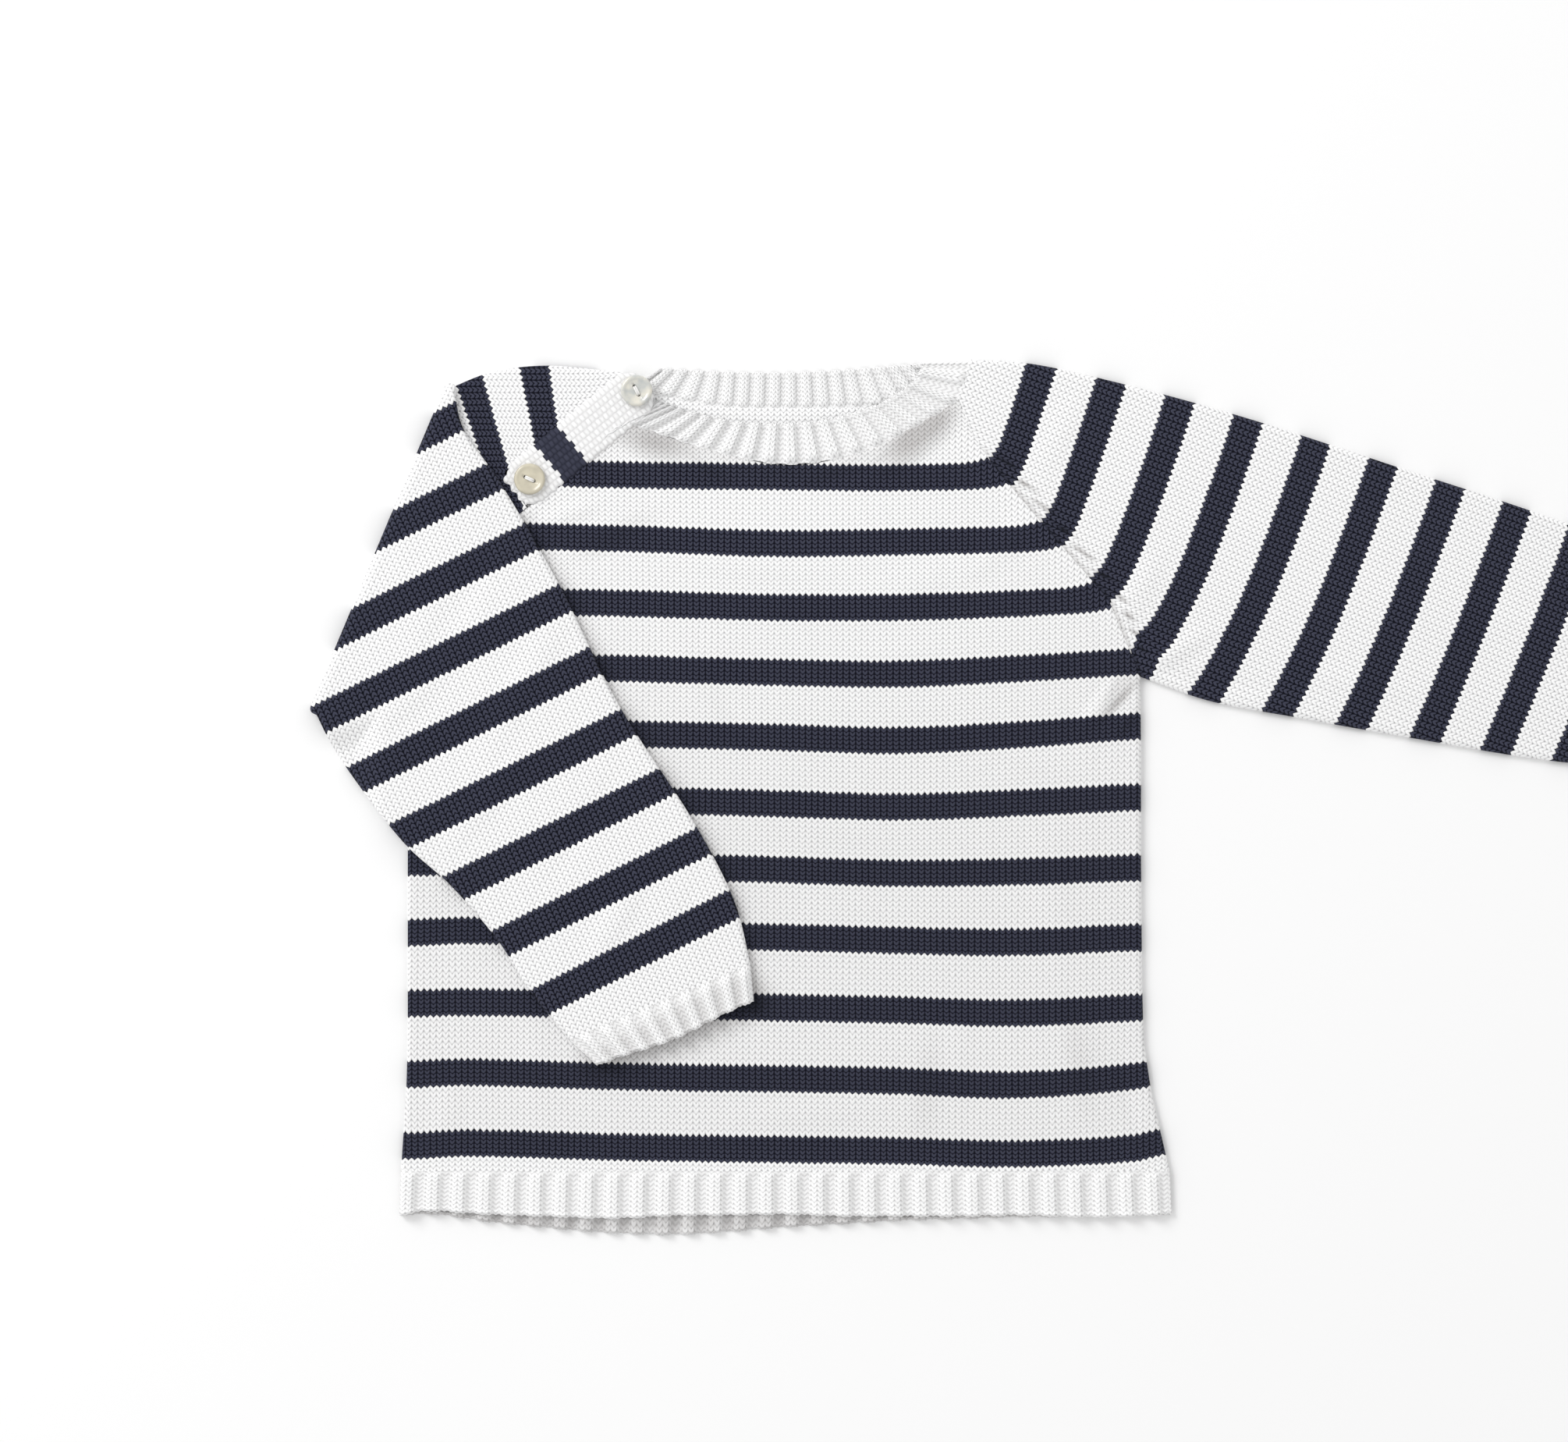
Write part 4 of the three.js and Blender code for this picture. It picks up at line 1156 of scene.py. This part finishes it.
def uneven(cloth, wales, courses):
    """Hand and machine leave no row quite straight: the counts wander a little."""
    drift = cloth.noise(130.0) - 0.5
    wander = cloth.noise(210.0) - 0.5
    return wales + drift * 0.22, courses + wander * 0.34


def finish_knit(cloth, height, light, dark, under, contrast=1.0):
    """Colour with painted shade in low places and from the stored shade, with fibres and bump."""
    fibres = cloth.noise(1900.0, 3.0)
    patches = cloth.noise(26.0)
    painted_shade = cloth.node("ShaderNodeAttribute", {"attribute_name": "painted_shade"}, {}, "Fac")
    # painted shade: the lower a place of the stitch, the nearer its colour comes to the dark one
    depth = (1 - height).step(0.0, 0.9)
    tone = depth * (0.8 + 0.4 * fibres) + (fibres - 0.5) * 0.16 + (patches - 0.5) * 0.06
    stitch = cloth.blend((tone * contrast).step(-0.05, 1.05), light, dark)
    # painted shade: each vertex's stored shade takes the colour on towards the darkest one
    cloth.feed("Base Color", cloth.blend(painted_shade * (0.85 + 0.3 * depth), stitch, under))
    cloth.bump(height + fibres * 0.16, 0.5 * MM, 0.8)
    cloth.shader.inputs["Roughness"].default_value = 0.92
    cloth.shader.inputs["Specular IOR Level"].default_value = 0.1
    cloth.shader.inputs["Sheen Weight"].default_value = 0.03
    cloth.shader.inputs["Sheen Roughness"].default_value = 0.6


def stockinette(name):
    """The striped stockinette of the body and the sleeves."""
    cloth = Cloth(name)
    wales, courses = uneven(cloth, *cloth.stitches())
    height, row = v_stitches(wales, courses)
    # eleven stripes and no more: plain white lies before the first and after the last
    within = (row > -0.5) * (row < STRIPE_REPEAT * 10 + NAVY_COURSES - 0.5)
    navy = ((row % STRIPE_REPEAT) < NAVY_COURSES - 0.5) * within
    light = cloth.blend(navy, WHITE, NAVY)
    dark = cloth.blend(navy, WHITE_SHADE, NAVY_SHADE)
    under = cloth.blend(navy, WHITE_DEEP_SHADE, NAVY_DEEP_SHADE)
    finish_knit(cloth, height, light, dark, under, 1 + navy * NAVY_CONTRAST)
    return cloth.material


striped = stockinette("striped_stockinette")
for piece in (front, back, right_sleeve, left_sleeve):
    piece.data.materials.append(striped)

# %% [markdown]
# ## Rib and moss stitch
# The rib's raised wales are V stitches and its sunk wales are purl bumps, rows of little arcs.
# Moss stitch is purl bumps on every other place of a chequerboard.


# %% Rib material
RIB_SHADE = (0.74, 0.735, 0.735, 1)


def purl_bumps(wales, courses):
    """The height of purl bumps, rows of little arcs."""
    arc = abs((wales % 1) * 2 - 1)
    along = courses + arc * 0.6
    return 1 - abs((along % 1) * 2 - 1) ** 1.8


def rib(name):
    """Two by two rib: two wales of V stitches, then two of purl bumps."""
    cloth = Cloth(name)
    wales, courses = uneven(cloth, *cloth.stitches())
    knit, _ = v_stitches(wales, courses)
    purl = purl_bumps(wales, courses)
    place = wales % 4
    sunk = place.step(2.1, 2.5) * (1 - place.step(3.6, 3.9))
    # the sunk purl wales lie lower, so they get more painted shade
    height = knit * (1 - sunk) + sunk * (purl * 0.5 + 0.2)
    finish_knit(cloth, height, WHITE, RIB_SHADE, WHITE_DEEP_SHADE)
    return cloth.material


def moss(name, low, high):
    """Moss stitch, with one navy stripe from a low course to a high one."""
    cloth = Cloth(name)
    wales, courses = uneven(cloth, *cloth.stitches())
    # every other wale stands half a course higher, as moss stitch does
    courses = courses + ((wales.floor() % 2) > 0.5) * 0.5
    turn = ((courses.floor() + wales.floor()) % 2) > 0.5
    over = 1 - abs((wales % 1) * 2 - 1) ** 2
    up = 1 - abs((courses % 1) * 2 - 1) ** 2
    bead = (over * up) ** 0.8
    worn = cloth.noise(420.0)
    # the places between the beads lie lower, so they get more painted shade
    height = bead * (0.25 + turn * 0.25 + worn * 0.3) + 0.27
    navy = (courses.floor() > low - 0.5) * (courses.floor() < high - 0.5)
    light = cloth.blend(navy, WHITE, NAVY)
    dark = cloth.blend(navy, RIB_SHADE, NAVY_SHADE)
    finish_knit(cloth, height, light, dark, dark, 1 - navy * 0.4)
    return cloth.material


ribbed = rib("two_by_two_rib")
for piece in (front_hem, back_hem, right_cuff, left_cuff, neckband):
    piece.data.materials.append(ribbed)
BAND_STRIPE = (19, 25)
mossy = moss("moss_stitch", *BAND_STRIPE)
for piece in (buttonhole_band, button_band):
    piece.data.materials.append(mossy)
print("knit materials:", striped.name, ribbed.name, mossy.name)

# %% [markdown]
# ## Buttons
# Shell buttons are turned on a lathe: a rim, a shallow dish and two drilled holes. Spinning half
# of the section about the middle makes the disc, and a Boolean drills it. Thread holds each one
# through its holes.

# %% Buttons
BUTTON_SECTION = (
    # radius, height
    (0, 0), (4.4, 0), (5.5, 0.35), (5.95, 0.9), (6.0, 1.2), (5.85, 1.7), (5.5, 2.0), (5.1, 2.1),
    (4.7, 2.02), (4.3, 1.82), (3.8, 1.64), (2.4, 1.52), (0, 1.5),
)
BUTTON_LEVEL = 4.72
HOLE_RADIUS = 0.75
HOLE_SPACING = 3.5
THREAD_RADIUS = 0.33
THREAD_APART = 0.34
THREAD_STEPS = 14
THREAD_FOOT = 0.4
THREAD_RISE = 1.75
BUTTONS = (
    # name, place on the plan, turn in degrees, node, slot
    ("upper_button", UPPER_BUTTON, -62, "button_upper", "pearl_button"),
    ("lower_button", LOWER_BUTTON, -25, "button_lower", "cream_button"),
)


def turned_disc(place):
    """The button's section, turned once round its middle."""
    mesh = bmesh.new()
    verts = [mesh.verts.new(place + Vector((r * MM, 0, z * MM))) for r, z in BUTTON_SECTION]
    edges = [mesh.edges.new(pair) for pair in zip(verts, verts[1:])]
    bmesh.ops.spin(mesh, geom=[*verts, *edges], cent=place, axis=(0, 0, 1), angle=math.tau,
                   steps=72, use_merge=True)
    bmesh.ops.remove_doubles(mesh, verts=mesh.verts, dist=1e-7)
    bmesh.ops.recalc_face_normals(mesh, faces=mesh.faces)
    return mesh


def drill(place):
    """The round tool that takes out one hole."""
    mesh = bmesh.new()
    bmesh.ops.create_cone(mesh, cap_ends=True, segments=28, radius1=HOLE_RADIUS * MM,
                          radius2=HOLE_RADIUS * MM, depth=9 * MM)
    bmesh.ops.translate(mesh, verts=mesh.verts, vec=place)
    return mesh


def make_button(name, centre, turn, node, slot):
    """A drilled button, with its place and the reach from there to a hole."""
    place = plan(*centre, BUTTON_LEVEL)
    disc = object_from(name, turned_disc(place))
    turn = math.radians(turn)
    reach = Vector((math.cos(turn), math.sin(turn), 0)) * HOLE_SPACING / 2 * MM
    for side in (-1, 1):
        tool = object_from("drill", drill(place + reach * side))
        cut = disc.modifiers.new("hole", "BOOLEAN")
        cut.operation = "DIFFERENCE"
        cut.solver = "EXACT"
        cut.object = tool
        graph = bpy.context.evaluated_depsgraph_get()
        drilled = bpy.data.meshes.new_from_object(disc.evaluated_get(graph))
        disc.modifiers.clear()
        disc.data = drilled
        bpy.data.objects.remove(tool)
    for face in disc.data.polygons:
        face.use_smooth = True
    disc.data.name = name
    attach(disc, "root")
    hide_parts(node)
    return disc, place, reach


def thread_bar(name, place, reach):
    """Two strands of thread over the bridge between the holes, and down into them."""
    mesh = bmesh.new()
    across = Vector((-reach.y, reach.x, 0)).normalized() * THREAD_APART * MM
    for lane in (-1, 1):
        ring = bmesh.ops.create_circle(mesh, segments=10, radius=THREAD_RADIUS * MM)["verts"]
        start = place + across * lane - reach + Vector((0, 0, THREAD_FOOT * MM))
        bmesh.ops.translate(mesh, verts=ring, vec=start)
        last = list({edge for vert in ring for edge in vert.link_edges})
        for k in range(1, THREAD_STEPS + 1):
            angle = math.pi * k / THREAD_STEPS
            made = bmesh.ops.extrude_edge_only(mesh, edges=last)["geom"]
            fresh = [g for g in made if isinstance(g, bmesh.types.BMVert)]
            goal = place + across * lane - reach * math.cos(angle)
            goal.z = place.z + (THREAD_FOOT + THREAD_RISE * math.sin(angle) ** 0.55) * MM
            middle = sum((v.co for v in fresh), Vector()) / len(fresh)
            bmesh.ops.translate(mesh, verts=fresh, vec=goal - middle)
            last = [g for g in made if isinstance(g, bmesh.types.BMEdge)
                    and all(v in fresh for v in g.verts)]
    for face in mesh.faces:
        face.smooth = True
    bmesh.ops.recalc_face_normals(mesh, faces=mesh.faces)
    bar = object_from(name, mesh)
    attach(bar, "root")
    return bar


# %% Button finishes
def shell(name, pale, deep, scale, gloss):
    """A smooth, faintly clouded button finish."""
    cloth = Cloth(name)
    clouds = cloth.noise(scale, 3.0)
    cloth.feed("Base Color", cloth.blend(clouds.step(0.32, 0.68), pale, deep))
    cloth.shader.inputs["Roughness"].default_value = gloss
    cloth.shader.inputs["Coat Weight"].default_value = 0.5
    cloth.shader.inputs["Coat Roughness"].default_value = 0.12
    return cloth.material


pearl = shell("pearl_shell", (0.76, 0.73, 0.64, 1), (0.50, 0.52, 0.51, 1), 190.0, 0.2)
cream = shell("cream_shell", (0.66, 0.61, 0.47, 1), (0.50, 0.46, 0.36, 1), 120.0, 0.28)
THREAD_LIGHT = (0.92, 0.91, 0.89, 1)
THREAD_DARK = (0.74, 0.73, 0.71, 1)
thread_cloth = Cloth("sewing_thread")
twist = thread_cloth.noise(2600.0)
thread_cloth.feed("Base Color", thread_cloth.blend(twist, THREAD_LIGHT, THREAD_DARK))
thread_cloth.shader.inputs["Roughness"].default_value = 0.8
for spec, finish in zip(BUTTONS, (pearl, cream)):
    disc, place, reach = make_button(*spec)
    disc.data.materials.clear()
    disc.data.materials.append(finish)
    bar = thread_bar(spec[0] + "_thread", place, reach)
    bar.data.materials.append(thread_cloth.material)
    print(spec[0], "at", [round(v, 4) for v in place])

# %% [markdown]
# ## The cuts
# Each sheet says what it was cut or knitted to before it was laid down. A tube's cut goes all
# round it. Width and length are the widest and the longest, so a piece that tapers or curves has
# a smaller area than the two multiplied.

CUTS = (
    # piece, width, length, flat area, how it is held, what it rests on
    (front, 0.296, 0.300, 0.0735, "laid", ["back"]),
    (back, 0.296, 0.303, 0.0765, "laid", ["floor"]),
    (right_sleeve, 0.250, 0.310, 0.0534, "laid", ["floor"]),
    (left_sleeve, 0.250, 0.310, 0.0546, "folded", ["front_panel"]),
    (front_hem, 0.296, 0.0174, 0.0051, "laid", ["back_hem_rib_knit"]),
    (back_hem, 0.296, 0.0240, 0.0061, "laid", ["floor"]),
    (right_cuff, 0.130, 0.0165, 0.0021, "laid", ["floor"]),
    (left_cuff, 0.130, 0.0165, 0.0021, "folded", ["front_panel"]),
    (neckband, 0.270, 0.0165, 0.0036, "folded", ["back_panel", "front_panel"]),
    (buttonhole_band, 0.0156, 0.0636, 0.00099, "laid", ["button_band_moss"]),
    (button_band, 0.0156, 0.0636, 0.00099, "laid", ["back_panel"]),
)
for piece, width, length, area, held, rests_on in CUTS:
    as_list(rests_on)
    print(piece.name, "cut", width, "by", length, "area", area)
